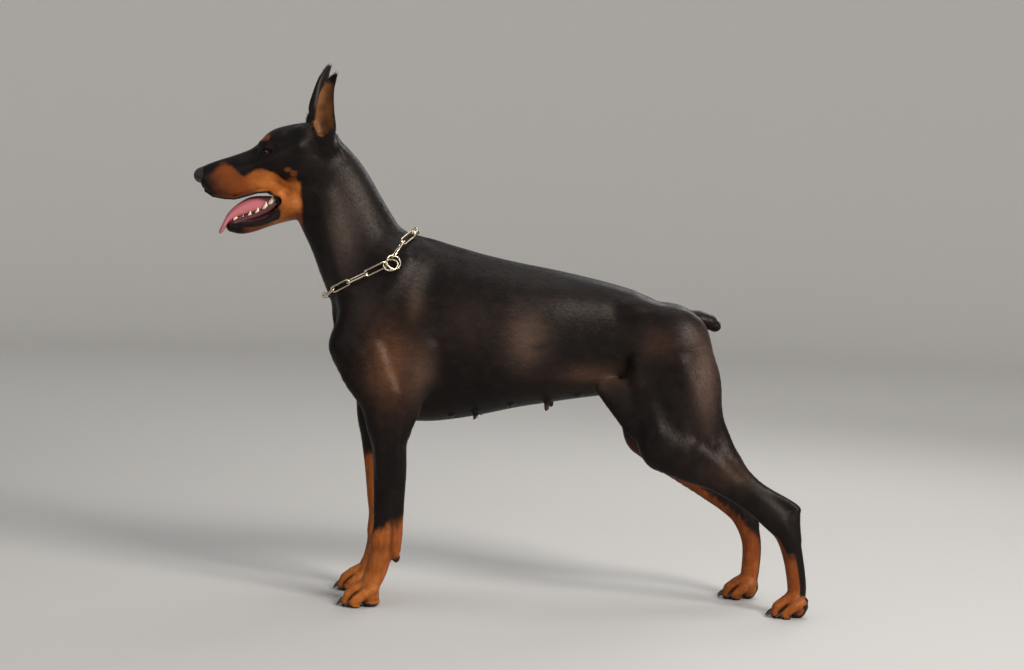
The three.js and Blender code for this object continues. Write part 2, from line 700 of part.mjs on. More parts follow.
// A cube's corners 0 and 7 and one of these pairs make each of its six tetrahedra.
const CUBE_PATHS = [[1, 3], [1, 5], [2, 3], [2, 6], [4, 5], [4, 6]];

const CORNER_MARGIN = 0.06; // a crossing keeps this share of an edge away from its ends
const BLOCK = 6; // cells in a block that is skipped when it is far from the surface
const FAR_SHARE = 1.35; // half diagonal of a block and more, in blocks

function march(distance, low, high, cell) {
  const count = [0, 1, 2].map((i) => Math.ceil((high[i] - low[i]) / cell) + 1);
  const [nx, ny, nz] = count;
  const values = new Float32Array(nx * ny * nz).fill(FAR_AWAY);
  const far = BLOCK * cell * FAR_SHARE;
  for (let k = 0; k < nz; k += BLOCK) {
    for (let j = 0; j < ny; j += BLOCK) {
      for (let i = 0; i < nx; i += BLOCK) {
        const middle = [i, j, k].map((start, axis) => low[axis] + (start + BLOCK / 2) * cell);
        const there = distance(...middle);
        for (let c = k; c < Math.min(k + BLOCK, nz); c += 1) {
          for (let b = j; b < Math.min(j + BLOCK, ny); b += 1) {
            for (let a = i; a < Math.min(i + BLOCK, nx); a += 1) {
              const near = Math.abs(there) < far;
              const spot = [low[0] + a * cell, low[1] + b * cell, low[2] + c * cell];
              const value = near ? distance(...spot) : there;
              values[a + nx * (b + ny * c)] = value || 1e-6;
            }
          }
        }
      }
    }
  }
  const points = [];
  const faces = [];
  const seen = new Map();
  const step = (corner) => (corner & 1) + nx * (((corner >> 1) & 1) + ny * (corner >> 2));
  const crossing = (base, a, b) => {
    const [from, to] = a < b ? [a, b] : [b, a];
    const start = base + step(from);
    const key = start * 8 + (to - from);
    if (seen.has(key)) return seen.get(key);
    const va = values[start];
    const vb = values[base + step(to)];
    const t = clamp(va / (va - vb), CORNER_MARGIN, 1 - CORNER_MARGIN);
    const i = start % nx;
    const j = Math.floor(start / nx) % ny;
    const k = Math.floor(start / (nx * ny));
    const go = to - from;
    points.push([
      low[0] + (i + t * (go & 1)) * cell,
      low[1] + (j + t * ((go >> 1) & 1)) * cell,
      low[2] + (k + t * (go >> 2)) * cell,
    ]);
    seen.set(key, points.length - 1);
    return points.length - 1;
  };
  const corner = (base, c) => {
    const at = base + step(c);
    const steps = [at % nx, Math.floor(at / nx) % ny, Math.floor(at / (nx * ny))];
    return steps.map((n, axis) => low[axis] + n * cell);
  };
  const addFace = (a, b, c, base, insideCorner) => {
    const [p, q, r] = [a, b, c].map((i) => points[i]);
    const inner = corner(base, insideCorner);
    const u = [q[0] - p[0], q[1] - p[1], q[2] - p[2]];
    const v = [r[0] - p[0], r[1] - p[1], r[2] - p[2]];
    const w = [inner[0] - p[0], inner[1] - p[1], inner[2] - p[2]];
    const normal = [u[1] * v[2] - u[2] * v[1], u[2] * v[0] - u[0] * v[2], u[0] * v[1] - u[1] * v[0]];
    const toInside = w[0] * normal[0] + w[1] * normal[1] + w[2] * normal[2];
    faces.push(toInside < 0 ? [a, b, c] : [a, c, b]);
  };
  for (let k = 0; k + 1 < nz; k += 1) {
    for (let j = 0; j + 1 < ny; j += 1) {
      for (let i = 0; i + 1 < nx; i += 1) {
        const base = i + nx * (j + ny * k);
        let inside = 0;
        for (let c = 0; c < 8; c += 1) if (values[base + step(c)] < 0) inside |= 1 << c;
        if (inside === 0 || inside === 255) continue;
        for (const [second, third] of CUBE_PATHS) {
          const corners = [0, second, third, 7];
          const ins = corners.filter((c) => inside & (1 << c));
          const outs = corners.filter((c) => !(inside & (1 << c)));
          if (ins.length === 1) {
            const [a, b, c] = outs.map((o) => crossing(base, ins[0], o));
            addFace(a, b, c, base, ins[0]);
          } else if (ins.length === 3) {
            const [a, b, c] = ins.map((o) => crossing(base, outs[0], o));
            addFace(a, b, c, base, ins[0]);
          } else if (ins.length === 2) {
            const a = crossing(base, ins[0], outs[0]);
            const b = crossing(base, ins[0], outs[1]);
            const c = crossing(base, ins[1], outs[1]);
            const d = crossing(base, ins[1], outs[0]);
            addFace(a, b, c, base, ins[0]);
            addFace(a, c, d, base, ins[0]);
          }
        }
      }
    }
  }
  return { points, faces };
}

// Fewer triangles: edges collapse one by one, the least change of shape first

const LENGTH_COST = 1e-6; // makes long edges dearer, so that triangles stay even
const FLAT_LIMIT = 1e-3; // below this the best place for a joined point isn't certain
const MOVE_LIMIT = 20; // a joined point moves no further than this
const TURN_LIMIT = 0.35; // cosine by which a triangle may turn
const LEAST_AREA = 0.02;

function simplify({ points, faces }, target, weight = () => 1) {
  const quadrics = points.map(() => new Float64Array(10));
  const around = points.map(() => new Set());
  const alive = new Uint8Array(faces.length).fill(1);
  const normalOf = (p, q, r) => {
    const u = [q[0] - p[0], q[1] - p[1], q[2] - p[2]];
    const v = [r[0] - p[0], r[1] - p[1], r[2] - p[2]];
    return [u[1] * v[2] - u[2] * v[1], u[2] * v[0] - u[0] * v[2], u[0] * v[1] - u[1] * v[0]];
  };
  faces.forEach((face, f) => {
    const [p, q, r] = face.map((i) => points[i]);
    const n = normalOf(p, q, r);
    const area = Math.hypot(...n);
    if (area > 0) {
      const [a, b, c] = n.map((value) => value / area);
      const d = -(a * p[0] + b * p[1] + c * p[2]);
      const w = area * weight(...p);
      const terms = [a * a, a * b, a * c, a * d, b * b, b * c, b * d, c * c, c * d, d * d];
      for (const i of face) terms.forEach((term, t) => { quadrics[i][t] += term * w; });
    }
    for (const i of face) around[i].add(f);
  });
  const error = (q, [x, y, z]) => q[0] * x * x + q[4] * y * y + q[7] * z * z + q[9]
    + 2 * (q[1] * x * y + q[2] * x * z + q[5] * y * z + q[3] * x + q[6] * y + q[8] * z);
  const best = (i, j) => {
    const q = quadrics[i].map((value, t) => value + quadrics[j][t]);
    const pi = points[i];
    const pj = points[j];
    const middle = [(pi[0] + pj[0]) / 2, (pi[1] + pj[1]) / 2, (pi[2] + pj[2]) / 2];
    const [a, b, c, d, e, f, g, h, k] = q;
    const det = a * (e * h - f * f) - b * (b * h - f * c) + c * (b * f - e * c);
    const options = [middle, pi, pj];
    if (Math.abs(det) > FLAT_LIMIT * (a + e + h) ** 3) {
      const x = -(d * (e * h - f * f) - b * (g * h - f * k) + c * (g * f - e * k)) / det;
      const y = -(a * (g * h - k * f) - d * (b * h - f * c) + c * (b * k - g * c)) / det;
      const z = -(a * (e * k - f * g) - b * (b * k - g * c) + d * (b * f - e * c)) / det;
      if (Math.hypot(x - middle[0], y - middle[1], z - middle[2]) < MOVE_LIMIT) options.push([x, y, z]);
    }
    let place = middle;
    let cost = Infinity;
    for (const option of options) {
      const c2 = error(q, option);
      if (c2 < cost) {
        cost = c2;
        place = option;
      }
    }
    const long = Math.hypot(pi[0] - pj[0], pi[1] - pj[1], pi[2] - pj[2]);
    return { cost: Math.max(cost, 0) + LENGTH_COST * long ** 4, place };
  };
  const heap = [];
  const swap = (a, b) => { [heap[a], heap[b]] = [heap[b], heap[a]]; };
  const push = (item) => {
    heap.push(item);
    let i = heap.length - 1;
    while (i > 0 && heap[(i - 1) >> 1].cost > heap[i].cost) {
      swap(i, (i - 1) >> 1);
      i = (i - 1) >> 1;
    }
  };
  const pop = () => {
    const top = heap[0];
    const end = heap.pop();
    if (heap.length) {
      heap[0] = end;
      let i = 0;
      for (;;) {
        let least = i;
        for (const child of [2 * i + 1, 2 * i + 2]) {
          if (child < heap.length && heap[child].cost < heap[least].cost) least = child;
        }
        if (least === i) break;
        swap(i, least);
        i = least;
      }
    }
    return top;
  };
  const version = new Int32Array(points.length);
  const offer = (i, j) => push({ i, j, vi: version[i], vj: version[j], ...best(i, j) });
  const neighbours = (i) => {
    const found = new Set();
    for (const f of around[i]) for (const j of faces[f]) if (j !== i) found.add(j);
    return found;
  };
  points.forEach((_, i) => { for (const j of neighbours(i)) if (i < j) offer(i, j); });
  const turns = (i, j, place) => {
    for (const f of around[i]) {
      if (faces[f].includes(j)) continue;
      const before = normalOf(...faces[f].map((v) => points[v]));
      const after = normalOf(...faces[f].map((v) => (v === i ? place : points[v])));
      const dot = before[0] * after[0] + before[1] * after[1] + before[2] * after[2];
      const size = Math.hypot(...after);
      if (dot < TURN_LIMIT * Math.hypot(...before) * size || size < LEAST_AREA) return true;
    }
    return false;
  };
  let left = faces.length;
  while (left > target && heap.length) {
    const { i, j, vi, vj, place } = pop();
    if (version[i] !== vi || version[j] !== vj) continue;
    const near = neighbours(i);
    let shared = 0;
    for (const k of neighbours(j)) if (near.has(k)) shared += 1;
    if (shared !== 2 || turns(i, j, place) || turns(j, i, place)) continue;
    points[i] = place;
    quadrics[i].forEach((value, t) => { quadrics[i][t] = value + quadrics[j][t]; });
    for (const f of around[j]) {
      if (faces[f].includes(i)) {
        alive[f] = 0;
        left -= 1;
        for (const v of faces[f]) if (v !== j) around[v].delete(f);
      } else {
        faces[f] = faces[f].map((v) => (v === j ? i : v));
        around[i].add(f);
      }
    }
    around[j].clear();
    version[j] = -1;
    version[i] += 1;
    for (const k of neighbours(i)) offer(i, k);
  }
  const kept = faces.filter((_, f) => alive[f]);
  return { points, faces: kept };
}

// Solids: a mesh as a body that can be cut and joined, and back

function solid({ points, faces }) {
  const index = new Map();
  const vertProperties = [];
  const triVerts = [];
  for (const face of faces) {
    for (const i of face) {
      if (!index.has(i)) {
        index.set(i, vertProperties.length / 3);
        vertProperties.push(...points[i]);
      }
      triVerts.push(index.get(i));
    }
  }
  return new wasm.Manifold(new wasm.Mesh({
    numProp: 3,
    vertProperties: new Float32Array(vertProperties),
    triVerts: new Uint32Array(triVerts),
  }));
}

function solidOf(geometry) {
  for (const name of Object.keys(geometry.attributes)) {
    if (name !== 'position') geometry.deleteAttribute(name);
  }
  const merged = mergeVertices(geometry, 1e-4);
  return new wasm.Manifold(new wasm.Mesh({
    numProp: 3,
    vertProperties: new Float32Array(merged.attributes.position.array),
    triVerts: new Uint32Array(merged.index.array),
  }));
}

function largest(body) {
  return body.decompose().sort((a, b) => b.volume() - a.volume())[0];
}

function geometryOf(body) {
  const { vertProperties, triVerts } = body.getMesh();
  const geometry = new THREE.BufferGeometry();
  geometry.setAttribute('position', new THREE.BufferAttribute(new Float32Array(vertProperties), 3));
  geometry.setIndex(new THREE.BufferAttribute(new Uint32Array(triVerts), 1));
  geometry.computeVertexNormals();
  return geometry;
}

// A tube of few sides through points, with a radius at each, closed at both ends or round as a ring.
function tube(path, radii, sides, ring = false) {
  const points = path.map((p) => new THREE.Vector3(...p));
  const count = points.length;
  const positions = [];
  const faces = [];
  const at = (i) => points[(i + count) % count];
  let across = null;
  points.forEach((point, i) => {
    const next = ring || i + 1 < count ? at(i + 1) : point;
    const behind = ring || i > 0 ? at(i - 1) : point;
    const along = next.clone().sub(behind).normalize();
    if (!across) across = Math.abs(along.y) < 0.9 ? new THREE.Vector3(0, 1, 0) : new THREE.Vector3(0, 0, 1);
    across = across.clone().addScaledVector(along, -across.dot(along)).normalize();
    const other = new THREE.Vector3().crossVectors(along, across);
    for (let s = 0; s < sides; s += 1) {
      const turn = (2 * Math.PI * s) / sides;
      const out = across.clone().multiplyScalar(Math.cos(turn)).addScaledVector(other, Math.sin(turn));
      positions.push(point.clone().addScaledVector(out, radii[i]).toArray());
    }
  });
  const rows = ring ? count : count - 1;
  for (let i = 0; i < rows; i += 1) {
    for (let s = 0; s < sides; s += 1) {
      const a = i * sides + s;
      const b = i * sides + ((s + 1) % sides);
      const c = ((i + 1) % count) * sides + s;
      const d = ((i + 1) % count) * sides + ((s + 1) % sides);
      faces.push([a, b, d], [a, d, c]);
    }
  }
  if (!ring) {
    for (let s = 1; s + 1 < sides; s += 1) {
      const end = (count - 1) * sides;
      faces.push([0, s + 1, s], [end, end + s, end + s + 1]);
    }
  }
  return solid({ points: positions, faces });
}

// Parting: regions are bounded by planes, each with the direction that leads out of the region

const CUT_MARGIN = 2; // a region is meshed this much too large before the exact cut
const HALF_SPACE = 3000; // side of the box that stands for a half space

function halfSpace({ point, outward }, grow) {
  const box = new THREE.BoxGeometry(HALF_SPACE, HALF_SPACE, HALF_SPACE);
  const normal = new THREE.Vector3(...outward).normalize();
  box.applyQuaternion(new THREE.Quaternion().setFromUnitVectors(new THREE.Vector3(0, 0, 1), normal));
  const centre = new THREE.Vector3(...point).addScaledVector(normal, grow - HALF_SPACE / 2);
  box.translate(centre.x, centre.y, centre.z);
  return solidOf(box);
}

// The region as a body, and as a distance.
function region(planes, grow = 0) {
  return planes.map((plane) => halfSpace(plane, grow)).reduce((a, b) => a.intersect(b));
}

function regionDistance(planes) {
  const walls = planes.map(({ point, outward }) => {
    const size = Math.hypot(...outward);
    const normal = outward.map((v) => v / size);
    return [...normal, normal[0] * point[0] + normal[1] * point[1] + normal[2] * point[2]];
  });
  return (x, y, z) => {
    let most = -Infinity;
    for (const [a, b, c, d] of walls) most = Math.max(most, a * x + b * y + c * z - d);
    return most;
  };
}

// The flesh inside one region and outside others, meshed with cells of one size and simplified.
function flesh({ field = dog, grow = 0, within = [], without = [], low, high, cell, triangles, weight }) {
  const inner = regionDistance(within);
  const outer = without.map(regionDistance);
  const distance = (x, y, z) => {
    let d = field.distance(x, y, z) - grow;
    if (within.length) d = Math.max(d, inner(x, y, z) - CUT_MARGIN);
    for (const other of outer) d = Math.max(d, GAP - CUT_MARGIN - other(x, y, z));
    return d;
  };
  let body = solid(simplify(march(distance, low, high, cell), triangles, weight));
  if (within.length) body = body.intersect(region(within));
  for (const planes of without) body = body.subtract(region(planes, GAP));
  return body;
}

const onSide = (side) => ({ point: [0, side * 2, 0], outward: [0, -side, 0] });
const FLOOR = { point: [0, 0, 0], outward: [0, 0, -1] };
const NAPE = [{ point: [-462, 0, 770], outward: [0.86, 0, -0.5] }];
const NECK_BASE = [{ point: [-366, 0, 600], outward: [0.68, 0, -0.73] }];
const JAW_CUT = [
  { point: [-531, 0, 736], outward: [-0.18, 0, 1] },
  { point: [-531, 0, 736], outward: [0.84, 0, 0.54] },
  ...NAPE,
];
const TAIL_CUT = [
  { point: [226, 0, 530], outward: [-1, 0, 0.1] },
  { point: [240, 0, 502], outward: [0, 0, -1] },
  { point: [240, -27, 530], outward: [0, -1, 0] },
  { point: [240, 27, 530], outward: [0, 1, 0] },
];

// A plane across the head, square to its forward or its upward direction.
function headPlane(forward, up, outward) {
  const start = onHead(0, 0, 0);
  return { point: onHead(forward, 0, up), outward: onHead(...outward).map((v, i) => v - start[i]) };
}

const NOSE_CUT = [headPlane(197, -36, [-1, 0, 0]), headPlane(200, -55, [0, 0, -1])];

function earCut(side) {
  const { base, tip } = side < 0 ? EARS.left : EARS.right;
  const way = tip.map((v, i) => v - base[i]);
  return [{ point: base.map((v, i) => v + way[i] * EAR_ROOT), outward: way.map((v) => -v) }, onSide(side)];
}

function foreCut(side) {
  return [
    onSide(side),
    { point: [-300, side * 58, 352], outward: [0, -side * 0.86, 0.5] },
    { point: [-330, side * 80, 392], outward: [0.2, 0, 1] },
    { point: [-262, side * 80, 330], outward: [1, 0, 0] },
  ];
}

function hindCut(side) {
  return [
    onSide(side),
    { point: [180, side * 2, 360], outward: [0, -side * 0.86, 0.5] },
    { point: [150, side * 80, 482], outward: [-0.1, side * 0.3, 1] },
    { point: [84, side * 80, 350], outward: [-0.9, 0, 0.45] },
  ];
}

const WRIST = { point: [0, 0, 128], outward: [0, 0, 1] };
const HOCK = { point: [0, 0, 148], outward: [0, 0, 1] };
const foreFootCut = (side) => [onSide(side), WRIST, FLOOR, { point: [-150, 0, 0], outward: [1, 0, 0] }];
const hindFootCut = (side) => [onSide(side), HOCK, FLOOR, { point: [50, 0, 0], outward: [-1, 0, 0] }];

// Collar: a chain of long links that lies in a slanting loop round the neck and ends in two rings

const COLLAR = { front: [-450, 0, 556], top: [-291, 0, 674], ringShare: 0.42, lift: 5, clear: 1.2 };
const RING_RADIUS = 13; // to the middle of the wire
const RING_TURN = 0.115; // of the loop, on both sides of the rings
// The two rings lie linked in one another, each through the last link of one end of the chain.
const RINGS = {
  front: { centre: [-328.9, -86.1, 618.9], normal: [0.07, 0.72, -0.69] },
  back: { centre: [-324.1, -82.5, 623.8], normal: [-0.35, 0.84, -0.42] },
};
const BEND_STEPS = 4;
const LIFT_PASSES = 16;
const RING_STEPS = 14;
const WIRE_SIDES = 5;
// How far the loop hangs below its straight line, by the share of the way from front to top
const SAG = [[-1, 0], [-0.7, 0.5], [-0.4, 5], [0, 11.5], [0.42, 15], [0.8, 3], [1, 0]];

const skinDistance = (p) => dog.distance(p.x, p.y, p.z);

// A point of the loop at a turn from the top, over the dog's left side, lifted off the skin.
function collarPoint(turn, lift) {
  const front = new THREE.Vector3(...COLLAR.front);
  const top = new THREE.Vector3(...COLLAR.top);
  const rise = top.clone().sub(front).normalize();
  const down = new THREE.Vector3(rise.z, 0, -rise.x);
  const heart = front.clone().add(top).multiplyScalar(0.5);
  heart.addScaledVector(down, readTable(SAG, Math.cos(turn), 1));
  const out = rise.clone().multiplyScalar(Math.cos(turn)).add(new THREE.Vector3(0, -Math.sin(turn), 0));
  let near = 20;
  let far = 180;
  while (far - near > 0.01) {
    const middle = (near + far) / 2;
    if (skinDistance(heart.clone().addScaledVector(out, middle)) < lift) near = middle;
    else far = middle;
  }
  return heart.addScaledVector(out, near);
}

// The way out of the skin at a point.
function skinNormal(p) {
  const STEP = 0.5;
  const slope = (axis) => {
    const shift = new THREE.Vector3(...[0, 1, 2].map((i) => (i === axis ? STEP : 0)));
    return skinDistance(p.clone().add(shift)) - skinDistance(p.clone().sub(shift));
  };
  return new THREE.Vector3(slope(0), slope(1), slope(2)).normalize();
}

// The middle line of a link's wire: two straight sides and two half circles.
function linkPath(from, to, wide) {
  const along = to.clone().sub(from);
  const halfLength = along.length() / 2 + (WIRE + LINK_PLAY) / 2;
  along.normalize();
  const bend = (LINK_WIDTH - WIRE) / 2;
  const centre = from.clone().add(to).multiplyScalar(0.5);
  const path = [];
  for (const end of [1, -1]) {
    for (let i = 0; i <= BEND_STEPS; i += 1) {
      const turn = Math.PI * (i / BEND_STEPS - 0.5);
      const point = centre.clone().addScaledVector(along, end * (halfLength - bend + bend * Math.cos(turn)));
      path.push(point.addScaledVector(wide, end * bend * Math.sin(turn)));
    }
  }
  return path;
}

// All links between the joints. Each lies square to the one before, and the first is turned by LINK_ROLL.
function linkPaths(joints) {
  const along = joints[1].clone().sub(joints[0]).normalize();
  const normal = skinNormal(joints[0]);
  const level = new THREE.Vector3().crossVectors(along, normal).normalize();
  let wide = level.clone().multiplyScalar(Math.cos(LINK_ROLL));
  wide.addScaledVector(new THREE.Vector3().crossVectors(level, along), Math.sin(LINK_ROLL));
  const paths = [];
  for (let i = 0; i + 1 < joints.length; i += 1) {
    const way = joints[i + 1].clone().sub(joints[i]).normalize();
    if (i > 0) wide = new THREE.Vector3().crossVectors(way, wide).normalize();
    paths.push(linkPath(joints[i], joints[i + 1], wide));
  }
  return paths;
}

// Joints between the links, spread evenly from one side of the ring round the neck to its other side.
function collarJoints() {
  const ringTurn = Math.acos(COLLAR.ringShare);
  const SAMPLES = 400;
  const start = ringTurn + RING_TURN;
  const end = ringTurn + 2 * Math.PI - RING_TURN;
  const line = [];
  for (let i = 0; i <= SAMPLES; i += 1) line.push(collarPoint(mix(start, end, i / SAMPLES), COLLAR.lift));
  const lengths = [0];
  for (let i = 1; i <= SAMPLES; i += 1) lengths.push(lengths[i - 1] + line[i].distanceTo(line[i - 1]));
  const joints = [];
  for (let i = 0; i <= LINK_COUNT; i += 1) {
    const want = (lengths[SAMPLES] * i) / LINK_COUNT;
    joints.push(line[lengths.findIndex((length) => length >= want - 1e-6)].clone());
  }
  return joints;
}

// The joints are lifted until every link is clear of the skin.
function collar() {
  const joints = collarJoints();
  for (let pass = 0; pass < LIFT_PASSES; pass += 1) {
    linkPaths(joints).forEach((path, i) => {
      const middles = path.map((p, k) => p.clone().add(path[(k + 1) % path.length]).multiplyScalar(0.5));
      const short = WIRE / 2 + COLLAR.clear - Math.min(...[...path, ...middles].map(skinDistance));
      if (short > 0) {
        for (const joint of [joints[i], joints[i + 1]]) joint.addScaledVector(skinNormal(joint), short / 2);
      }
    });
  }
  return { links: linkPaths(joints), joints };
}

function ringPath({ centre, normal }) {
  const axis = new THREE.Vector3(...normal).normalize();
  const one = new THREE.Vector3().crossVectors(axis, new THREE.Vector3(0, 0, 1)).normalize();
  const other = new THREE.Vector3().crossVectors(axis, one);
  return Array.from({ length: RING_STEPS }, (_, i) => {
    const turn = (2 * Math.PI * i) / RING_STEPS;
    const point = new THREE.Vector3(...centre).addScaledVector(one, RING_RADIUS * Math.cos(turn));
    return point.addScaledVector(other, RING_RADIUS * Math.sin(turn));
  });
}

function wireLoop(path) {
  return tube(path.map((p) => p.toArray()), path.map(() => WIRE / 2), WIRE_SIDES, true);
}

// Teeth of the lower jaw, each a small tapered cone: [x, aside, root z, height, half length]
const LOWER_TEETH = [
  [-626, 2.5, 689, 6, 2.2],
  [-624, 7, 689, 7, 2.4],
  [-617, 12, 691, 16, 4],
  [-603, 15.5, 695, 5, 2.4],
  [-590, 18, 699, 8.5, 3.8],
  [-576, 20, 704, 10, 4.4],
  [-561, 22.5, 714, 11, 5],
  [-549, 24.5, 724, 12, 6],
];

function lowerTeeth() {
  const teeth = [];
  for (const side of [-1, 1]) {
    for (const [x, y, z, height, half] of LOWER_TEETH) {
      const root = [x, side * y, z - 4];
      const crown = [x + 0.5, side * (y + 0.5), z + height * 0.55];
      const tip = [x + 1, side * (y + 1), z + height];
      teeth.push(tube([root, crown, tip], [half, half * 0.7, half * 0.16], 5));
    }
  }
  return teeth;
}

// The whole dog as one field
const dog = new Flesh();
torso(dog);
neck(dog);
dog.join(16, cord(TAIL));
head(dog);
dog.join(8, limb(JAW));
mouth(dog);
for (const side of [-1, 1]) ear(dog, side);
eyes(dog);
nose(dog);
for (const side of [-1, 1]) {
  foreleg(dog, side);
  hindleg(dog, side);
}
const tongueField = new Flesh().join(1, limb(TONGUE));

// The pieces, each a named mesh of its own
const group = new THREE.Group();
group.position.x = -MID_X;

function piece(name, body, slot) {
  const shape = new THREE.Mesh(geometryOf(largest(body)), material(slot));
  shape.name = name;
  group.add(shape);
}

const sideName = (side) => (side < 0 ? 'left' : 'right');

function eyeball(side, radius) {
  const [forward, across, up] = EYE_PLACE;
  return solidOf(new THREE.IcosahedronGeometry(radius, 2).translate(...onHead(forward, side * across, up)));
}

function makeHead() {
  const box = { low: [-715, -95, 640], high: [-400, 95, 890] };
  const tongueBox = { low: [-660, -30, 655], high: [-522, 30, 745] };
  const around = flesh({ field: tongueField, grow: TONGUE_GAP, ...tongueBox, cell: 3, triangles: 260 });
  const face = (x, y, z) => (x < -535 && z > 725 ? 3 : 1);
  const without = [JAW_CUT, NOSE_CUT, earCut(-1), earCut(1)];
  let skull = flesh({ within: NAPE, without, ...box, cell: 3, triangles: 2300, weight: face });
  skull = skull.subtract(around);
  for (const side of [-1, 1]) skull = skull.subtract(eyeball(side, EYE_RADIUS + GAP));
  piece('head', skull, 'black');
  let jaw = flesh({ within: JAW_CUT, ...box, cell: 3, triangles: 560 });
  for (const tooth of lowerTeeth()) jaw = jaw.add(tooth);
  piece('jaw_lower', jaw.subtract(around), 'rust');
  piece('tongue', flesh({ field: tongueField, ...tongueBox, cell: 3, triangles: 240 }), 'tongue');
  piece('nose', flesh({ within: NOSE_CUT, ...box, cell: 2.5, triangles: 240 }), 'leather');
  for (const side of [-1, 1]) {
    piece(`eye_${sideName(side)}`, eyeball(side, EYE_RADIUS), 'eye');
    const { base } = side < 0 ? EARS.left : EARS.right;
    const low = [base[0] - 45, base[1] - 50, base[2] - 20];
    const high = [base[0] + 65, base[1] + 50, base[2] + 160];
    const leafBody = flesh({ within: earCut(side), low, high, cell: 2.4, triangles: 320 });
    piece(`ear_${sideName(side)}`, leafBody, 'black');
  }
}

function makeTrunk() {
  const box = { low: [-560, -130, 290], high: [280, 130, 890] };
  piece('neck', flesh({ within: NECK_BASE, without: [NAPE], ...box, cell: 6, triangles: 600 }), 'black');
  const without = [NECK_BASE, TAIL_CUT, foreCut(-1), foreCut(1), hindCut(-1), hindCut(1)];
  piece('torso', flesh({ without, ...box, cell: 7.5, triangles: 1800 }), 'black');
  const tailBox = { low: [205, -45, 480], high: [290, 45, 560] };
  piece('tail', flesh({ within: TAIL_CUT, ...tailBox, cell: 5, triangles: 110 }), 'black');
}

function makeLegs(side) {
  const name = sideName(side);
  const across = { low: -75 + side * 75, high: 75 + side * 75 };
  const box = (x, z, xEnd, zEnd) => ({ low: [x, across.low - 5, z], high: [xEnd, across.high + 5, zEnd] });
  const fore = { within: foreCut(side), without: [foreFootCut(side)], ...box(-420, 110, -240, 415) };
  piece(`foreleg_${name}`, flesh({ ...fore, cell: 4.5, triangles: 400 }), 'black');
  const hind = { within: hindCut(side), without: [hindFootCut(side)], ...box(40, 130, 460, 530) };
  piece(`hindleg_${name}`, flesh({ ...hind, cell: 6, triangles: 720 }), 'black');
  const foreBox = { within: foreFootCut(side), ...box(-440, -6, -260, 140) };
  let paw = flesh({ ...foreBox, cell: 2.8, triangles: 520 });
  const forward = side > 0 ? readTable(FORE_SHIFT, 0, 1) : 0;
  for (const claw of claws(aside(side, FORE.paw), FORE_FOOT, side, forward)) paw = paw.add(claw);
  piece(`forepaw_${name}`, paw, 'rust');
  const hindBox = { within: hindFootCut(side), ...box(260, -6, 460, 160) };
  let rear = flesh({ ...hindBox, cell: 2.8, triangles: 520 });
  const leg = side < 0 ? HIND.left : HIND.right;
  for (const claw of claws(aside(side, leg.paw), HIND_FOOT, side, 0)) rear = rear.add(claw);
  piece(`hindpaw_${name}`, rear, 'rust');
}

function makeCollar() {
  collar().links.forEach((path, i) => {
    piece(`collar_link_${String(i + 1).padStart(2, '0')}`, wireLoop(path), 'steel');
  });
  for (const [name, ring] of Object.entries(RINGS)) {
    piece(`collar_ring_${name}`, wireLoop(ringPath(ring)), 'steel');
  }
}

makeHead();
makeTrunk();
makeCollar();
for (const side of [-1, 1]) makeLegs(side);

export default group;
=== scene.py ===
"""A doberman pinscher bitch in show stance with a chain collar, as a still life-size model.

The anatomy is one field of distances in millimetres, in a measuring frame: the dog faces -X, its left
side is towards -Y, and Z is up from the floor. The skin is meshed from that field, refined on the face
and feet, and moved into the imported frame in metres. The coat lies over it as short tufts.
"""

import itertools
import math
from math import radians

import bpy
import numpy as np
from mathutils import Matrix, Vector


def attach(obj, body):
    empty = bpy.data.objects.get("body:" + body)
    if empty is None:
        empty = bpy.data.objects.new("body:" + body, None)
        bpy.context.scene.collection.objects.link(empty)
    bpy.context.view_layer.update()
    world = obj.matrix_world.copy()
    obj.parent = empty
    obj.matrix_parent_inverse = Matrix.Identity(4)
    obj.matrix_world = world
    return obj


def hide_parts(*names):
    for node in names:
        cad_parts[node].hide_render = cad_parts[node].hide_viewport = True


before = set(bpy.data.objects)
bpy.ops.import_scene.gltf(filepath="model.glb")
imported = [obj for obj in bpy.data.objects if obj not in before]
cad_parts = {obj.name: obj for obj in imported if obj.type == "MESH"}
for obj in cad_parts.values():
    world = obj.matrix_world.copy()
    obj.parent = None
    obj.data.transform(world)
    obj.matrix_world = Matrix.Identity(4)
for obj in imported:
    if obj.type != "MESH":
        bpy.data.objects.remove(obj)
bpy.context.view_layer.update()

# Driving sizes, in millimetres and degrees
MID_X = -124.4  # the middle of the dog's length in the measuring frame
HEAD_PITCH = 19.5
SKULL_BACK = [-500, 0, 873]
EYE_RADIUS = 10.5
EYE_PLACE = [72, 31, -35]  # in the head's frame: forward, aside, up
EAR_LEAF = 4  # thickness of the ear's leaf
FORE_HALF_STANCE = 80
TEAT_STEP = 9  # how far the right row of teats is set back
WIRE = 3.2  # thickness of the chain's wire
LINK_COUNT = 16
LINK_WIDTH = 14.5
COAT_DEPTH = 1.5
RANDOM_SEED = 7
SIDES = {"left": -1, "right": 1}

# Tables of the body, with places of the right side or the middle. Rows of outlines are as profile takes
# them, rows of limbs as limb does, and rows of cords are a place and a radius.

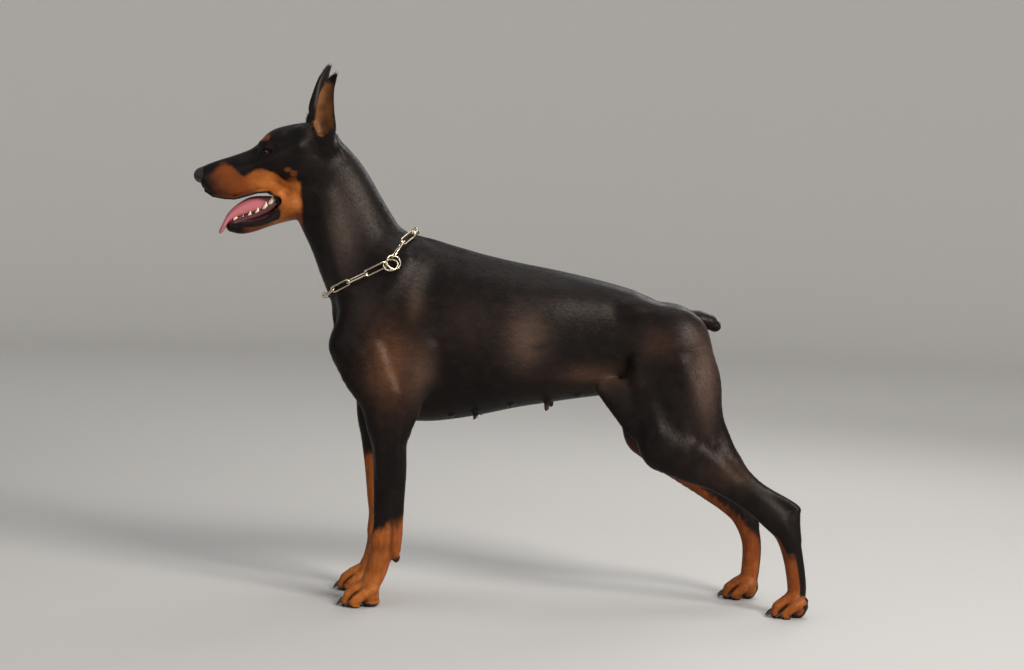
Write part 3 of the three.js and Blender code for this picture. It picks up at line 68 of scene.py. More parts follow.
TORSO = [
    [-429, 458, 520, 22, 0.5, 2, 2],
    [-417, 424, 552, 46, 0.5, 2, 2],
    [-398, 384, 596, 70, 0.5, 2, 1.9],
    [-360, 345, 640, 84, 0.48, 1.9, 1.8],
    [-310, 331, 664, 92, 0.46, 1.8, 1.8],
    [-263, 329, 666, 97, 0.46, 1.75, 1.8],
    [-220, 333, 655, 101, 0.47, 1.85, 1.85],
    [-160, 344, 639, 104, 0.48, 2, 1.9],
    [-100, 358, 626, 103, 0.5, 2.1, 2],
    [-40, 369, 616, 97, 0.52, 2.2, 2],
    [20, 379, 604, 85, 0.55, 2.3, 2],
    [80, 388, 590, 74, 0.6, 2.3, 2],
    [135, 400, 572, 68, 0.62, 2.3, 2],
    [176, 425, 553, 60, 0.6, 2.2, 2],
    [204, 452, 543, 44, 0.6, 2, 2],
    [224, 478, 530, 26, 0.6, 2, 2],
]

# Place on the belly of each teat, how far it hangs and its half width
TEATS = [[-216, 34, 337, -1, 3.6], [-172, 40, 343, 9, 4.6], [-108, 42, 360, 0, 3.8], [-42, 38, 371, 15, 6],
         [14, 30, 380, 0, 3.8]]

NECK = [
    [-462, 0, 768, 75, 46],
    [-444, 0, 742, 77, 49],
    [-426, 0, 709, 78, 51],
    [-405, 0, 668, 79, 55],
    [-386, 0, 630, 83, 62],
    [-365, 0, 600, 91, 70],
    [-341, 0, 570, 102, 80],
]

TAIL = [[205, 0, 528, 20], [232, 0, 529, 18], [252, 0, 525, 15.5], [262, 0, 518, 12]]

# How far the right foreleg stands before the left one, by height
FORE_SHIFT = [[0, 19], [40, 14], [80, 11], [120, 14], [180, 21], [240, 26], [300, 30], [380, 20], [470, 0]]

FORE = {
    "bladeTop": [-292, 34, 622],
    "bladePoint": [-395, 70, 474],
    "paw": [-368, FORE_HALF_STANCE + 2, 0],
}

# Toes as reach forward, place across and height of the knuckle
FORE_FOOT = {
    "toes": [[15, -23, 25], [29, -8.5, 31], [29, 9, 31], [14, 24, 25]],
    "radius": 10,
    "heel": -16,
    "pad": 17,
}
HIND_FOOT = {
    "toes": [[15, -21, 24], [30, -8, 30], [30, 8.5, 30], [14, 22, 24]],
    "radius": 9.5,
    "heel": -11,
    "pad": 14,
}

HIND = {
    "left": {
        "stifle": [164, 84, 290],
        "calf": [268, 84, 262],
        "shin": [328, 86, 217],
        "hock": [398, 88, 152],
        "cannon": [410, 88, 106],
        "ankle": [418, 88, 52],
        "heel": [414, 88, 200],
        "paw": [409, 90, 0],
    },
    "right": {
        "stifle": [142, 84, 296],
        "calf": [216, 84, 256],
        "shin": [272, 86, 208],
        "hock": [338, 88, 152],
        "cannon": [351, 88, 106],
        "ankle": [350, 88, 52],
        "heel": [354, 88, 198],
        "paw": [336, 90, 0],
    },
}

SKULL = [
    [-52, -84, -40, 22, 0.5, 2, 2],
    [-34, -96, -22, 36, 0.5, 2, 2],
    [-14, -104, -7, 45, 0.55, 2.2, 2],
    [8, -108, -1, 52, 0.58, 2.4, 2],
    [34, -106, 2, 54, 0.6, 2.5, 2.1],
    [54, -103, 1.5, 49, 0.6, 2.5, 2.2],
    [72, -100, -4, 42, 0.58, 2.3, 2.3],
    [88, -97, -15, 35, 0.5, 2.2, 2.4],
    [104, -90, -27, 27, 0.5, 2.2, 2.4],
    [118, -80, -36, 18, 0.5, 2.2, 2.4],
]

MUZZLE = [
    [72, -94, -24, 30, 0.42, 2.2, 2.6],
    [88, -99, -21, 34, 0.42, 2.2, 2.8],
    [106, -101, -20, 34.5, 0.4, 2.3, 3],
    [140, -100, -20.5, 33.5, 0.4, 2.4, 3],
    [165, -96, -20, 31.5, 0.42, 2.4, 2.8],
    [185, -88, -20.5, 29, 0.45, 2.3, 2.5],
    [200, -76, -22, 25, 0.5, 2.2, 2.2],
    [209, -62, -24, 18, 0.55, 2, 2],
]

JAW = [
    [-624, 0, 678, 11, 13],
    [-606, 0, 678.5, 14.5, 19],
    [-584, 0, 682, 13, 23],
    [-560, 0, 691, 13, 28],
    [-536, 0, 706, 20, 35],
    [-514, 0, 722, 30, 42],
]

TONGUE = [
    [-546, 0, 722, 13, 20],
    [-568, 0, 720, 15, 20],
    [-588, 0, 717, 15.5, 19.5],
    [-609, 0, 708, 12.5, 18],
    [-624, 0, 699, 8.5, 17],
    [-633, 0, 689, 5.4, 16.5],
    [-638, 0, 680, 4.4, 16],
    [-643, 0, 671, 3.6, 13.5],
    [-646, 0, 666, 2.6, 9],
]

EARS = {
    "left": {"base": [-460, -38, 826], "tip": [-434, -66, 957], "open": [-0.55, -1, 0.1]},
    "right": {"base": [-482, 36, 834], "tip": [-455, 60, 976], "open": [-1, 0.75, 0.1]},
}
# The ear's leaf and the cup carved into it, as rows that leaf takes
EAR = [[0, 12, 10, 0], [0.16, 22, 16, -1], [0.3, 25, 17.5, -4], [0.48, 21.5, 13.5, -9],
       [0.66, 17.5, 9.5, -12], [0.8, 13.5, 7, -11], [0.9, 10, 5.5, -7], [0.97, 6.5, 4, -3], [1, 2.8, 2.6, 1]]
CUP = [[0.18, 10, 9, -1.3], [0.32, 20, 15, -4.6], [0.5, 17.5, 12, -9.4], [0.7, 12.5, 8.5, -12],
       [0.84, 8, 6, -9.8], [0.93, 4.2, 4, -5.4], [1, 1.2, 2, 1]]


# Small sums on numbers and points

def aside(side, row):
    """A row that starts with a place of the right side, moved to the side asked for."""
    return [row[0], side * row[1], *row[2:]]


def all_aside(side, rows):
    return [aside(side, row) for row in rows]


def mix(a, b, t):
    return a + (b - a) * t


def smooth(low, high, value):
    """From 0 at low to 1 at high, with soft ends."""
    t = np.clip((value - low) / (high - low), 0, 1)
    return t * t * (3 - 2 * t)


def unit(vectors):
    return vectors / np.maximum(np.linalg.norm(vectors, axis=-1, keepdims=True), 1e-9)


def read_table(rows, at, column=1):
    """A smooth curve through the rows of a table, each led by its place."""
    rows = np.asarray(rows, dtype=float)
    x, y = rows[:, 0], rows[:, column]
    last = len(rows) - 1
    before = np.maximum(np.arange(last + 1) - 1, 0)
    after = np.minimum(np.arange(last + 1) + 1, last)
    slope = (y[after] - y[before]) / (x[after] - x[before])
    at = np.clip(np.asarray(at, dtype=float), x[0], x[-1])
    i = np.clip(np.searchsorted(x, at, side="right") - 1, 0, last - 1)
    wide = x[i + 1] - x[i]
    t = (at - x[i]) / wide
    rise = y[i + 1] - y[i]
    start, end = slope[i] * wide, slope[i + 1] * wide
    return y[i] + t * (start + t * (3 * rise - 2 * start - end + t * (start + end - 2 * rise)))


def refine(stations, parts=5):
    """More stations between the given ones, on a smooth curve through them."""
    rows = [[i, *station] for i, station in enumerate(stations)]
    at = np.arange((len(stations) - 1) * parts + 1) / parts
    return np.stack([read_table(rows, at, column + 1) for column in range(len(stations[0]))], axis=1)


# Shapes: each gives a function from points to distances, and a ball that bounds it

def bound(balls):
    balls = np.asarray(balls, dtype=float)
    low = (balls[:, :3] - balls[:, 3:4]).min(axis=0)
    high = (balls[:, :3] + balls[:, 3:4]).max(axis=0)
    return (low + high) / 2, np.linalg.norm(high - low) / 2


def ball(centre, radii, pitch=0, yaw=0):
    """An ellipsoid, turned in the side plane by pitch and from above by yaw, in degrees."""
    cp, sp = math.cos(radians(pitch)), math.sin(radians(pitch))
    cy, sy = math.cos(radians(yaw)), math.sin(radians(yaw))
    turn = np.array([[cy, -sy, 0], [sy, cy, 0], [0, 0, 1]])
    turn = turn @ np.array([[cp, 0, sp], [0, 1, 0], [-sp, 0, cp]])
    centre, radii = np.asarray(centre, dtype=float), np.asarray(radii, dtype=float)

    def distance(points):
        local = (points - centre) @ turn / radii
        near = np.linalg.norm(local, axis=1)
        steep = np.linalg.norm(local / radii, axis=1) + 1e-9
        return near * (near - 1) / steep - radii.min() * (near < 1e-6)

    return distance, centre, radii.max()


def cord(points):
    """A round cord of flesh or bone through points that each end with a radius."""
    rows = np.asarray(points, dtype=float)

    def distance(places):
        best = np.full(len(places), np.inf)
        for a, b in zip(rows[:-1], rows[1:]):
            along = b[:3] - a[:3]
            t = np.clip((places - a[:3]) @ along / (along @ along), 0, 1)
            away = np.linalg.norm(places - a[:3] - t[:, None] * along, axis=1)
            best = np.minimum(best, away - mix(a[3], b[3], t))
        return best

    return distance, *bound(rows)


def limb(stations):
    """A limb in the side plane: stations of [x, y, z, half depth, half width], smoothed between."""
    fine = refine(stations)

    def distance(places):
        best = np.full(len(places), np.inf)
        x, y, z = places.T
        for a, b in zip(fine[:-1], fine[1:]):
            dx, dz = b[0] - a[0], b[2] - a[2]
            t = np.clip(((x - a[0]) * dx + (z - a[2]) * dz) / (dx * dx + dz * dz), 0, 1)
            across = np.hypot(x - a[0] - t * dx, z - a[2] - t * dz)
            out = y - mix(a[1], b[1], t)
            wide = mix(a[4], b[4], t)
            gauge = np.maximum(np.hypot(across / mix(a[3], b[3], t), out / wide), 1e-6)
            away = np.where(gauge < 1e-5, -wide, np.hypot(across, out) * (1 - 1 / gauge))
            best = np.minimum(best, away)
        return best

    return distance, *bound(np.column_stack([fine[:, :3], fine[:, 3:5].max(axis=1)]))


def profile(origin, pitch, rows):
    """A body drawn by its outline from the side, in a frame that is pitched down. Each row is
    [at, low, high, half width, height of the widest part, fullness above it, fullness below it]."""
    cos, sin = math.cos(radians(pitch)), math.sin(radians(pitch))
    first, last = rows[0][0], rows[-1][0]
    steps = 160
    stations = np.linspace(first, last, steps + 1)
    table = np.stack([read_table(rows, stations, column) for column in range(1, 7)], axis=1)

    def distance(points):
        dx, dz = origin[0] - points[:, 0], points[:, 2] - origin[2]
        at, up = cos * dx - sin * dz, sin * dx + cos * dz
        place = np.clip((at - first) / (last - first), 0, 1) * steps
        i = np.minimum(place.astype(int), steps - 1)
        t = (place - i)[:, None]
        low, high, half, waist, crown, keel = (table[i] * (1 - t) + table[i + 1] * t).T
        level = mix(low, high, waist)
        above = up - level
        height = np.where(above > 0, high - level, level - low)
        power = np.where(above > 0, crown, keel)
        y = points[:, 1]
        gauge = (np.abs(above / height) ** power + np.abs(y / half) ** power) ** (1 / power)
        gauge = np.maximum(gauge, 1e-6)
        radial = np.where(gauge < 1e-5, -np.minimum(height, half), np.hypot(above, y) * (1 - 1 / gauge))
        past = np.maximum(np.maximum(first - at, at - last), 0)
        return np.where(past > 0, np.hypot(np.maximum(radial, 0), past), radial)

    corners = []
    for at, low, high, half, *_ in rows:
        up = (low + high) / 2
        middle = [origin[0] - cos * at - sin * up, 0, origin[2] - sin * at + cos * up]
        corners.append([*middle, max((high - low) / 2, half)])
    return distance, *bound(corners)


def leaf(base, tip, facing, rows, shift=0, flip=1):
    """A leaf with oval sections along an axis: rows of [share, half along, half across, bend sideways]."""
    base, tip = np.asarray(base, dtype=float), np.asarray(tip, dtype=float)
    long = np.linalg.norm(tip - base)
    axis = (tip - base) / long
    face = np.asarray(facing, dtype=float)
    face = face - face @ axis * axis
    face /= np.linalg.norm(face)
    edge = np.cross(axis, face)

    def distance(points):
        local = points - base - shift * face
        along = local @ axis
        t = np.clip(along / long, rows[0][0], 1)
        a, b = local @ edge - flip * read_table(rows, t, 3), local @ face
        thick = read_table(rows, t, 2)
        gauge = np.maximum(np.hypot(a / read_table(rows, t, 1), b / thick), 1e-6)
        radial = np.where(gauge < 1e-5, -thick, np.hypot(a, b) * (1 - 1 / gauge))
        past = np.abs(along - t * long)
        return np.where(past > 1e-6, np.hypot(np.maximum(radial, 0), past), radial)

    wide = max(max(row[1], row[2]) + abs(row[3]) for row in rows) + abs(shift)
    return distance, *bound([[*base, wide], [*tip, wide]])


class Flesh:
    """A field of flesh: shapes that join or are carved away one after the other, each with a soft edge."""

    def __init__(self):
        self.steps = []

    def join(self, soft, *shapes):
        self.steps += [(1, soft, *shape) for shape in shapes]
        return self

    def carve(self, soft, *shapes):
        self.steps += [(-1, soft, *shape) for shape in shapes]
        return self

    def distance(self, points):
        d = np.full(len(points), 1e3)
        for sign, soft, shape, centre, reach in self.steps:
            least = np.linalg.norm(points - centre, axis=1) - reach
            near = np.nonzero(least <= sign * d + soft)[0]
            if len(near):
                mine = sign * d[near]
                other = shape(points[near])
                overlap = np.maximum(soft - np.abs(mine - other), 0)
                d[near] = sign * (np.minimum(mine, other) - overlap ** 2 / (4 * soft))
        return d

    def slope(self, points, step=0.35):
        """The way in which the distance grows most, with its steepness."""
        slopes = []
        for axis in np.eye(3) * step:
            slopes.append((self.distance(points + axis) - self.distance(points - axis)) / (2 * step))
        return np.stack(slopes, axis=1)


# The anatomy: muscles, bones and folds in the order in which they join

FLANK_FOLD = [[66, 56, 402, 20, 10], [98, 66, 384, 34, 11], [124, 78, 352, 34, 14]]
LOIN = [[-200, 22, 620, 16], [100, 26, 556, 18]]
NECK_CREST = [[-420, 0, 786, 20], [-380, 0, 728, 20], [-330, 0, 662, 20]]
NECK_MUSCLE = [[-452, 37, 740, 12], [-430, 39, 660, 16], [-402, 46, 560, 21]]


def teat_place(side, teat):
    """The middle of a teat's tip."""
    x, y, z, drop, wide = teat
    return [x + (TEAT_STEP if side > 0 else 0), side * y, z - drop + wide]


def torso(flesh):
    flesh.join(1, profile([0, 0, 0], 0, [[-row[0], *row[1:]] for row in TORSO[::-1]]))
    for side in SIDES.values():
        flesh.join(24, ball(aside(side, [-408, 26, 470]), [23, 30, 50], 12))  # breast
        flesh.join(24, ball(aside(side, [118, 46, 545]), [36, 24, 22]))  # hip bone
        flesh.join(20, cord(all_aside(side, LOIN)))
        flesh.join(20, limb(all_aside(side, FLANK_FOLD)))
        for teat in TEATS:
            tip, height, wide = teat_place(side, teat), teat[2], teat[4]
            flesh.join(9, cord([[*tip[:2], height + 9, wide * 1.2], [*tip, wide * 0.94]]))


def neck(flesh):
    flesh.join(34, limb(NECK))
    flesh.join(20, cord(NECK_CREST))
    for side in SIDES.values():
        flesh.join(22, cord(all_aside(side, NECK_MUSCLE)))


# Muscles that show through the short coat: softness, then a line of places with radii
FORE_MUSCLES = [
    [14, [[-300, 58, 628, 12], [-340, 81, 560, 14], [-372, 86, 500, 13]]],  # ridge of the shoulder blade
    [15, [[-262, 82, 470, 20], [-282, 84, 425, 24], [-292, 92, 388, 16]]],  # triceps
    [13, [[-354, 84, 468, 14], [-338, 87, 428, 16], [-322, 99, 392, 12]]],  # upper arm
    [9, [[-345, 102, 362, 9], [-343, 98, 310, 9], [-338, 94, 240, 6]]],  # front and back of the forearm
    [9, [[-306, 101, 352, 8], [-309, 97, 300, 7], [-309, 93, 230, 5]]],
]
# The last value is the share of the right leg's step forward that the place takes part in
HIND_MUSCLES = [
    [16, [[126, 71, 452, 20, 0], [138, 75, 390, 24, 0.1], [156, 89, 330, 18, 0.4]]],  # front of the thigh
    [15, [[196, 84, 452, 16, 0.1], [222, 84, 400, 18, 0.15], [238, 85, 350, 16, 0.5],
          [252, 88, 312, 12, 0.8]]],  # back of the thigh
    [12, [[232, 92, 300, 14, 0.8], [270, 93, 268, 14, 1], [300, 93, 240, 10, 1]]],  # calf
]
BLADE = [
    [*FORE["bladeTop"], 30, 16],
    [-335, 56, 570, 52, 24],
    [-375, 66, 505, 48, 28],
    [*FORE["bladePoint"], 36, 28],
]
ELBOW = [[-283, 86, 372, 11], [-282, 86, 350, 10], [-300, 84, 322, 12]]
FOREARM = [
    [-338, 82, 380, 38, 26],
    [-330, 83, 335, 38, 27],
    [-324, 82, 290, 32, 24.5],
    [-322, 81, 235, 30.5, 21],
    [-325, 80, 180, 26.5, 18.5],
    [-328, 80, 150, 23.5, 19],
    [-331, 80, 120, 23.5, 21],
    [-338, 80, 90, 22, 20.5],
    [-345, 80, 62, 20.5, 20],
    [-353, 81, 42, 19, 22],
]
SINEW = [[-307, 82, 215, 6], [-304, 82, 170, 7], [-305, 82, 130, 8], [-308, 82, 104, 8.5]]


def foreleg(flesh, side):
    def place(x, y, z):
        shift = float(read_table(FORE_SHIFT, z)) if side > 0 else 0
        return aside(side, [x - shift, y, z])

    def stepped(rows):
        return [[*place(*row[:3]), *row[3:]] for row in rows]

    flesh.join(34, limb(all_aside(side, BLADE)))
    upper_arm = all_aside(side, [[-398, 68, 470, 34, 28], [-365, 76, 420, 46, 27]])
    flesh.join(26, limb([*upper_arm, *stepped([[-318, 82, 372, 40, 24]])]))
    triceps = all_aside(side, [[-282, 68, 520, 34, 18], [-290, 80, 440, 40, 22]])
    flesh.join(26, limb([*triceps, *stepped([[-290, 86, 372, 20, 17]])]))
    flesh.join(10, cord(stepped(ELBOW)))
    flesh.join(22, limb(stepped(FOREARM)))
    flesh.join(14, cord(stepped(SINEW)))
    flesh.join(6, ball(place(-308, 84, 90), [8, 7, 9]))  # wrist pad
    flesh.join(14, ball(place(-345, 69, 116), [9, 7, 14]), ball(place(-344, 91, 124), [9, 7, 14]))
    for soft, line in FORE_MUSCLES:
        flesh.join(soft, cord(stepped(line)))
    foot(flesh, place(*FORE["paw"]), FORE_FOOT, side)


def foot(flesh, paw, sizes, side):
    x, y, z = paw
    radius, heel, pad = sizes["radius"], sizes["heel"], sizes["pad"]
    flesh.join(8, ball([x + 8, y, z + 24], [24, 25, 19], 20))
    for reach, across, knuckle in sizes["toes"]:
        def toe(forward, share, up, r):
            return [x - forward, y + side * across * share, z + up, r]

        flesh.join(3.8, cord([
            toe(reach - 34, 0.62, knuckle + 8, radius * 1.02),
            toe(reach - 19, 0.92, knuckle, radius),
            toe(reach - 5, 1, knuckle - 11, radius * 0.98),
            toe(reach, 1, radius * 0.92, radius * 0.9),
        ]))
        flesh.join(2.5, ball([x - reach + 3, y + side * across, z + 4], [10, radius * 0.8, 7]))
    flesh.join(7, ball([x - heel, y, z + 8], [pad, pad * 1.2, 10]))


def hindleg(flesh, side):
    at = HIND["left"] if side < 0 else HIND["right"]
    names = ["stifle", "calf", "shin", "hock", "cannon", "ankle", "heel"]
    stifle, calf, shin, hock, cannon, ankle, heel = [aside(side, at[name]) for name in names]
    lean = 0 if side < 0 else -12
    back = at["calf"][0] - HIND["left"]["calf"][0]
    flesh.join(26, ball(aside(side, [182, 50, 490]), [64, 38, 52], -20))  # rump
    flesh.join(30, limb(all_aside(side, [  # thigh
        [178, 56, 490, 62, 32],
        [186 + lean * 0.3, 66, 430, 80, 34],
        [188 + lean * 0.6, 72, 372, 78, 30],
        [186 + lean, 78, 324, 58, 24],
    ])))
    flesh.join(24, limb(all_aside(side, [  # back of the thigh
        [216, 34, 468, 22, 22],
        [242 + back * 0.15, 52, 426, 23, 28],
        [246 + back * 0.45, 66, 370, 26, 26],
        [266 + back * 0.8, 76, 314, 28, 18],
        [288 + back, 80, 280, 22, 13],
    ])))
    flesh.join(20, ball([stifle[0] - 6, stifle[1], stifle[2] + 24], [28, 21, 34], 20))
    flesh.join(22, limb([  # lower leg
        [stifle[0] + 6, stifle[1], stifle[2] + 4, 36, 24],
        [mix(stifle[0], calf[0], 0.5) + 6, calf[1], mix(stifle[2], calf[2], 0.5) + 4, 42, 25],
        [*calf, 38, 21],
        [*shin, 26, 15],
        [hock[0] - 26, hock[1], hock[2] + 28, 25, 15],
        [hock[0] - 2, hock[1], hock[2], 22.5, 16.5],
        [*cannon, 19, 15],
        [*ankle, 18, 17],
        [ankle[0] - 4, ankle[1], 34, 18, 20],
    ]))
    flesh.join(12, limb([  # heel sinew
        [calf[0] + 20, calf[1], calf[2] + 24, 13, 13],
        [mix(calf[0], heel[0], 0.5), calf[1] + side, mix(calf[2], heel[2], 0.5) + 9, 8, 7.5],
        [heel[0] - 8, heel[1], heel[2] + 2, 9, 8],
        [heel[0] - 4, heel[1], heel[2] - 14, 11, 10],
        [mix(heel[0], cannon[0], 0.6), heel[1], mix(heel[2], cannon[2], 0.6), 10, 11],
    ]))
    flesh.join(10, limb([  # web before the sinew
        [mix(calf[0], heel[0], 0.35), calf[1], mix(calf[2], heel[2], 0.35) - 4, 14, 9],
        [heel[0] - 22, heel[1], heel[2] - 10, 14, 7],
        [heel[0] - 12, heel[1], heel[2] - 22, 12, 9],
    ]))
    for soft, line in HIND_MUSCLES:
        flesh.join(soft, cord([[x + back * share, side * y, z, r] for x, y, z, r, share in line]))
    foot(flesh, aside(side, at["paw"]), HIND_FOOT, side)


def on_head(forward, across, up):
    """A place in the head's own frame: forward from the back of the skull, aside, and up from its top."""
    cos, sin = math.cos(radians(HEAD_PITCH)), math.sin(radians(HEAD_PITCH))
    return [SKULL_BACK[0] - cos * forward - sin * up, across, SKULL_BACK[2] - sin * forward + cos * up]


def to_head(points):
    """The way back: places as forward, across and up in the head's frame."""
    cos, sin = math.cos(radians(HEAD_PITCH)), math.sin(radians(HEAD_PITCH))
    dx, dz = SKULL_BACK[0] - points[:, 0], points[:, 2] - SKULL_BACK[2]
    return np.stack([cos * dx - sin * dz, points[:, 1], sin * dx + cos * dz], axis=1)


def head_rows(side, rows):
    """Rows that start with a place in the head's frame, moved to one side and into the measuring frame."""
    return [[*on_head(u, side * y, v), *rest] for u, y, v, *rest in rows]


# Cords of the right half of the face, in the head's frame
CHEEK_BONE = [[88, 35, -50, 8], [60, 49, -50, 9], [18, 53, -44, 9]]
MUZZLE_ROOT = [[128, 22, -52, 9], [98, 28, -54, 12], [68, 36, -56, 12]]
BROW = [[80, 23, -18, 6], [66, 33, -18, 7], [47, 40, -27, 6]]
NOSTRIL = [[222, 6, -36, 4], [210, 8, -36, 3.6], [201, 16, -40, 2.2], [195, 20, -40, 1.6]]
NOSE_CLEFT = [[223, 0, -40, 1.6], [216, 0, -66, 1.6]]


def head(flesh):
    flesh.join(20, profile(SKULL_BACK, HEAD_PITCH, SKULL))
    flesh.join(16, profile(SKULL_BACK, HEAD_PITCH, MUZZLE))
    flesh.join(3, ball(on_head(205, 0, -37), [15, 19, 15], HEAD_PITCH))
    for side in SIDES.values():
        flesh.join(18, ball(on_head(28, side * 42, -62), [36, 16, 34], HEAD_PITCH))
        flesh.join(12, cord(head_rows(side, CHEEK_BONE)))
        flesh.join(18, cord(head_rows(side, MUZZLE_ROOT)))
        flesh.join(12, cord(head_rows(side, BROW)))
        flesh.join(14, ball(on_head(4, side * 42, -34), [24, 14, 26], HEAD_PITCH))


# Edge of the upper lip in the head's frame, and of the lower lip and the gum in the measuring frame
UPPER_LIP = [[206, 8, -66, 3.4], [195, 17, -79, 3.4], [175, 24, -89.5, 3.4], [158, 27, -95.5, 3.6],
             [145, 28, -96, 3.6], [133, 28.5, -96.5, 3.6], [117, 29.5, -97, 3.8], [97, 31, -102, 4],
             [87, 31.5, -110, 4.2], [83, 31, -121, 4.4]]
LOWER_LIP = [[-536, 31, 726, 4.6], [-534, 30.5, 711, 4.8], [-542, 29, 699, 4.8], [-556, 27, 691, 4.8],
             [-571, 24.5, 687, 4.6], [-586, 22, 684.5, 4.6], [-604, 18, 684, 4.6], [-618, 12, 684, 4.4],
             [-626, 4, 683, 4]]
GUM = [[-544, 24, 722, 6.5], [-559, 22, 710, 6], [-576, 19.5, 701, 5.5], [-589, 17.5, 696, 5.5],
       [-603, 15.5, 692, 5.5], [-616, 11.5, 688, 5], [-624, 5, 686, 4.4]]
MOUTH_CORNER = [[-570, 25, 753, 7], [-552, 27, 750, 10], [-537, 28, 740, 13], [-526, 28, 722, 15]]
MOUTH_FLOOR = [[-540, 0, 707, 12, 28], [-560, 0, 694, 9, 25], [-576, 0, 687, 8, 22], [-590, 0, 683, 7, 19],
               [-604, 0, 681, 6, 16], [-620, 0, 680, 5, 9]]
TONGUE_ROOT = [[-552, 0, 701, 5.5], [-576, 0, 692.5, 6], [-604, 0, 684, 5]]  # closes the view below the gums
THROAT = [[-512, 0, 722, 10, 16], [-545, 0, 728, 9, 20], [-580, 0, 724, 9, 21]]
THROAT_END = [-636, 0, 716, 9, 17]
PALATE = [[-556, 0, 742, 10, 17], [-600, 0, 738, 12, 17], [-640, 0, 738, 10, 14]]
# The gap between the lips, wide enough to cut through both cheeks
GAPE = [[-540, 0, 727, 12, 60], [-556, 0, 722, 17, 60], [-584, 0, 712, 19.5, 60], [-620, 0, 706.5, 18, 60],
        [-660, 0, 698, 24, 60]]
# The same gap between the rows of teeth alone
INNER_GAPE = [[-544, 0, 727, 10, 23], [-556, 0, 722, 15, 23], [-584, 0, 712, 18, 22], [-640, 0, 702, 19, 14]]


def mouth(flesh):
    """An open mouth between two lips, with a ridge of gum for the lower teeth."""
    for side in SIDES.values():
        flesh.join(8, cord(all_aside(side, MOUTH_CORNER)))
    flesh.carve(3, limb([*THROAT, [-610, 0, 718, 11, 20], THROAT_END]))
    flesh.carve(2, limb(GAPE))
    flesh.carve(8, limb(PALATE))
    flesh.join(3, limb(MOUTH_FLOOR))
    flesh.join(3, cord(TONGUE_ROOT))
    for side in SIDES.values():
        flesh.join(3, cord(all_aside(side, GUM)))
        flesh.join(4, cord(head_rows(side, UPPER_LIP)))
        flesh.join(3, cord(all_aside(side, LOWER_LIP)))


def mouth_space():
    """What is carved for the mouth, as a field of its own, so that its lining can be told from the coat."""
    space = Flesh()
    space.join(3, limb([*THROAT, THROAT_END]))
    space.join(2, limb(INNER_GAPE))
    space.join(8, limb(PALATE))
    space.join(2, limb(MOUTH_FLOOR))
    for side in SIDES.values():
        space.join(2, cord(all_aside(side, GUM)))
    return space


def eye_centre(side):
    forward, across, up = EYE_PLACE
    return np.array(on_head(forward, side * across, up))


def eyes(flesh):
    """The lids wrap the eyeball and part in an almond that rises towards the back."""
    forward, across, up = EYE_PLACE
    lids = [EYE_RADIUS + 4.4, EYE_RADIUS + 1.8, EYE_RADIUS + 2.4]
    for side in SIDES.values():
        flesh.join(12, ball(eye_centre(side), lids))
        almond = ball(on_head(forward, side * (across + EYE_RADIUS), up), [10, 9, 4.2], HEAD_PITCH - 12)
        flesh.carve(1.2, almond)


def nose(flesh):
    for side in SIDES.values():
        flesh.carve(2, cord(head_rows(side, NOSTRIL)))
    flesh.carve(2, cord(head_rows(1, NOSE_CLEFT)))


def ear_frame(side):
    """The base and tip of an ear and the way in which it opens."""
    ear_at = EARS["left"] if side < 0 else EARS["right"]
    return [np.array(ear_at[key], dtype=float) for key in ("base", "tip", "open")]


def ear_leaf(side):
    return leaf(*ear_frame(side), EAR, 0, -side)


def ear_cup(side):
    return leaf(*ear_frame(side), CUP, EAR_LEAF + 1, -side)


def ear(flesh, side):
    base, *_ = ear_frame(side)
    flesh.join(14, ball([base[0] - 1, base[1] * 0.9, base[2] + 8], [25, 18, 22], 10))
    flesh.join(9, ear_leaf(side))
    flesh.carve(2.5, ear_cup(side))


def whole_dog():
    flesh = Flesh()
    torso(flesh)
    neck(flesh)
    flesh.join(16, cord(TAIL))
    head(flesh)
    flesh.join(8, limb(JAW))
    mouth(flesh)
    for side in SIDES.values():
        ear(flesh, side)
    eyes(flesh)
    nose(flesh)
    for side in SIDES.values():
        foreleg(flesh, side)
        hindleg(flesh, side)
    return flesh


dog = whole_dog()
mouth_field = mouth_space()

# The surface of the field: a net of cells, refined where the form is fine

# Stretches of the grid along each axis as [start, cell], each up to the next one's start
BODY_GRID = (
    [[-708, 2.3], [-500, 3.0], [-292, 5.4], [292, 2.9], [458, 0]],
    [[-128, 2.8], [128, 0]],
    [[-4, 2.4], [74, 5.4], [640, 2.3], [982, 0]],
)
EAR_CELL = 1.1
MOUTH_GRID = ([[-662, 1.25], [-516, 0]], [[-42, 1.25], [42, 0]], [[654, 1.25], [758, 0]])
BLOCK = 6  # cells along the side of a block, which is left out whole if it lies far from the surface


def inset(points):
    """How deep the skin lies below the top of the coat."""
    u, _, v = to_head(points).T
    on_face = smooth(20, 60, u)
    on_ear = smooth(8, 24, v) * smooth(-40, -20, u)
    low = 1 - smooth(60, 150, points[:, 2])
    return COAT_DEPTH * (1 - 0.5 * np.maximum(on_face, 0.5 * low)) * (1 - 0.75 * on_ear)


def skin_distance(points):
    """The field of the skin under the coat, cut flat at the floor."""
    return np.maximum(dog.distance(points) + inset(points), -points[:, 2])


def grid_axis(stretches):
    steps = [np.arange(a, b - cell * 0.5, cell) for (a, cell), (b, _) in zip(stretches[:-1], stretches[1:])]
    return np.concatenate(steps)


def in_chunks(measure, points, size=60000):
    return np.concatenate([measure(points[i:i + size]) for i in range(0, len(points), size)])


def at_nodes(axes, nodes):
    """The places of nodes of a grid, which are given by their numbers along its axes."""
    return np.stack([axes[i][nodes[:, i]] for i in range(3)], axis=1)


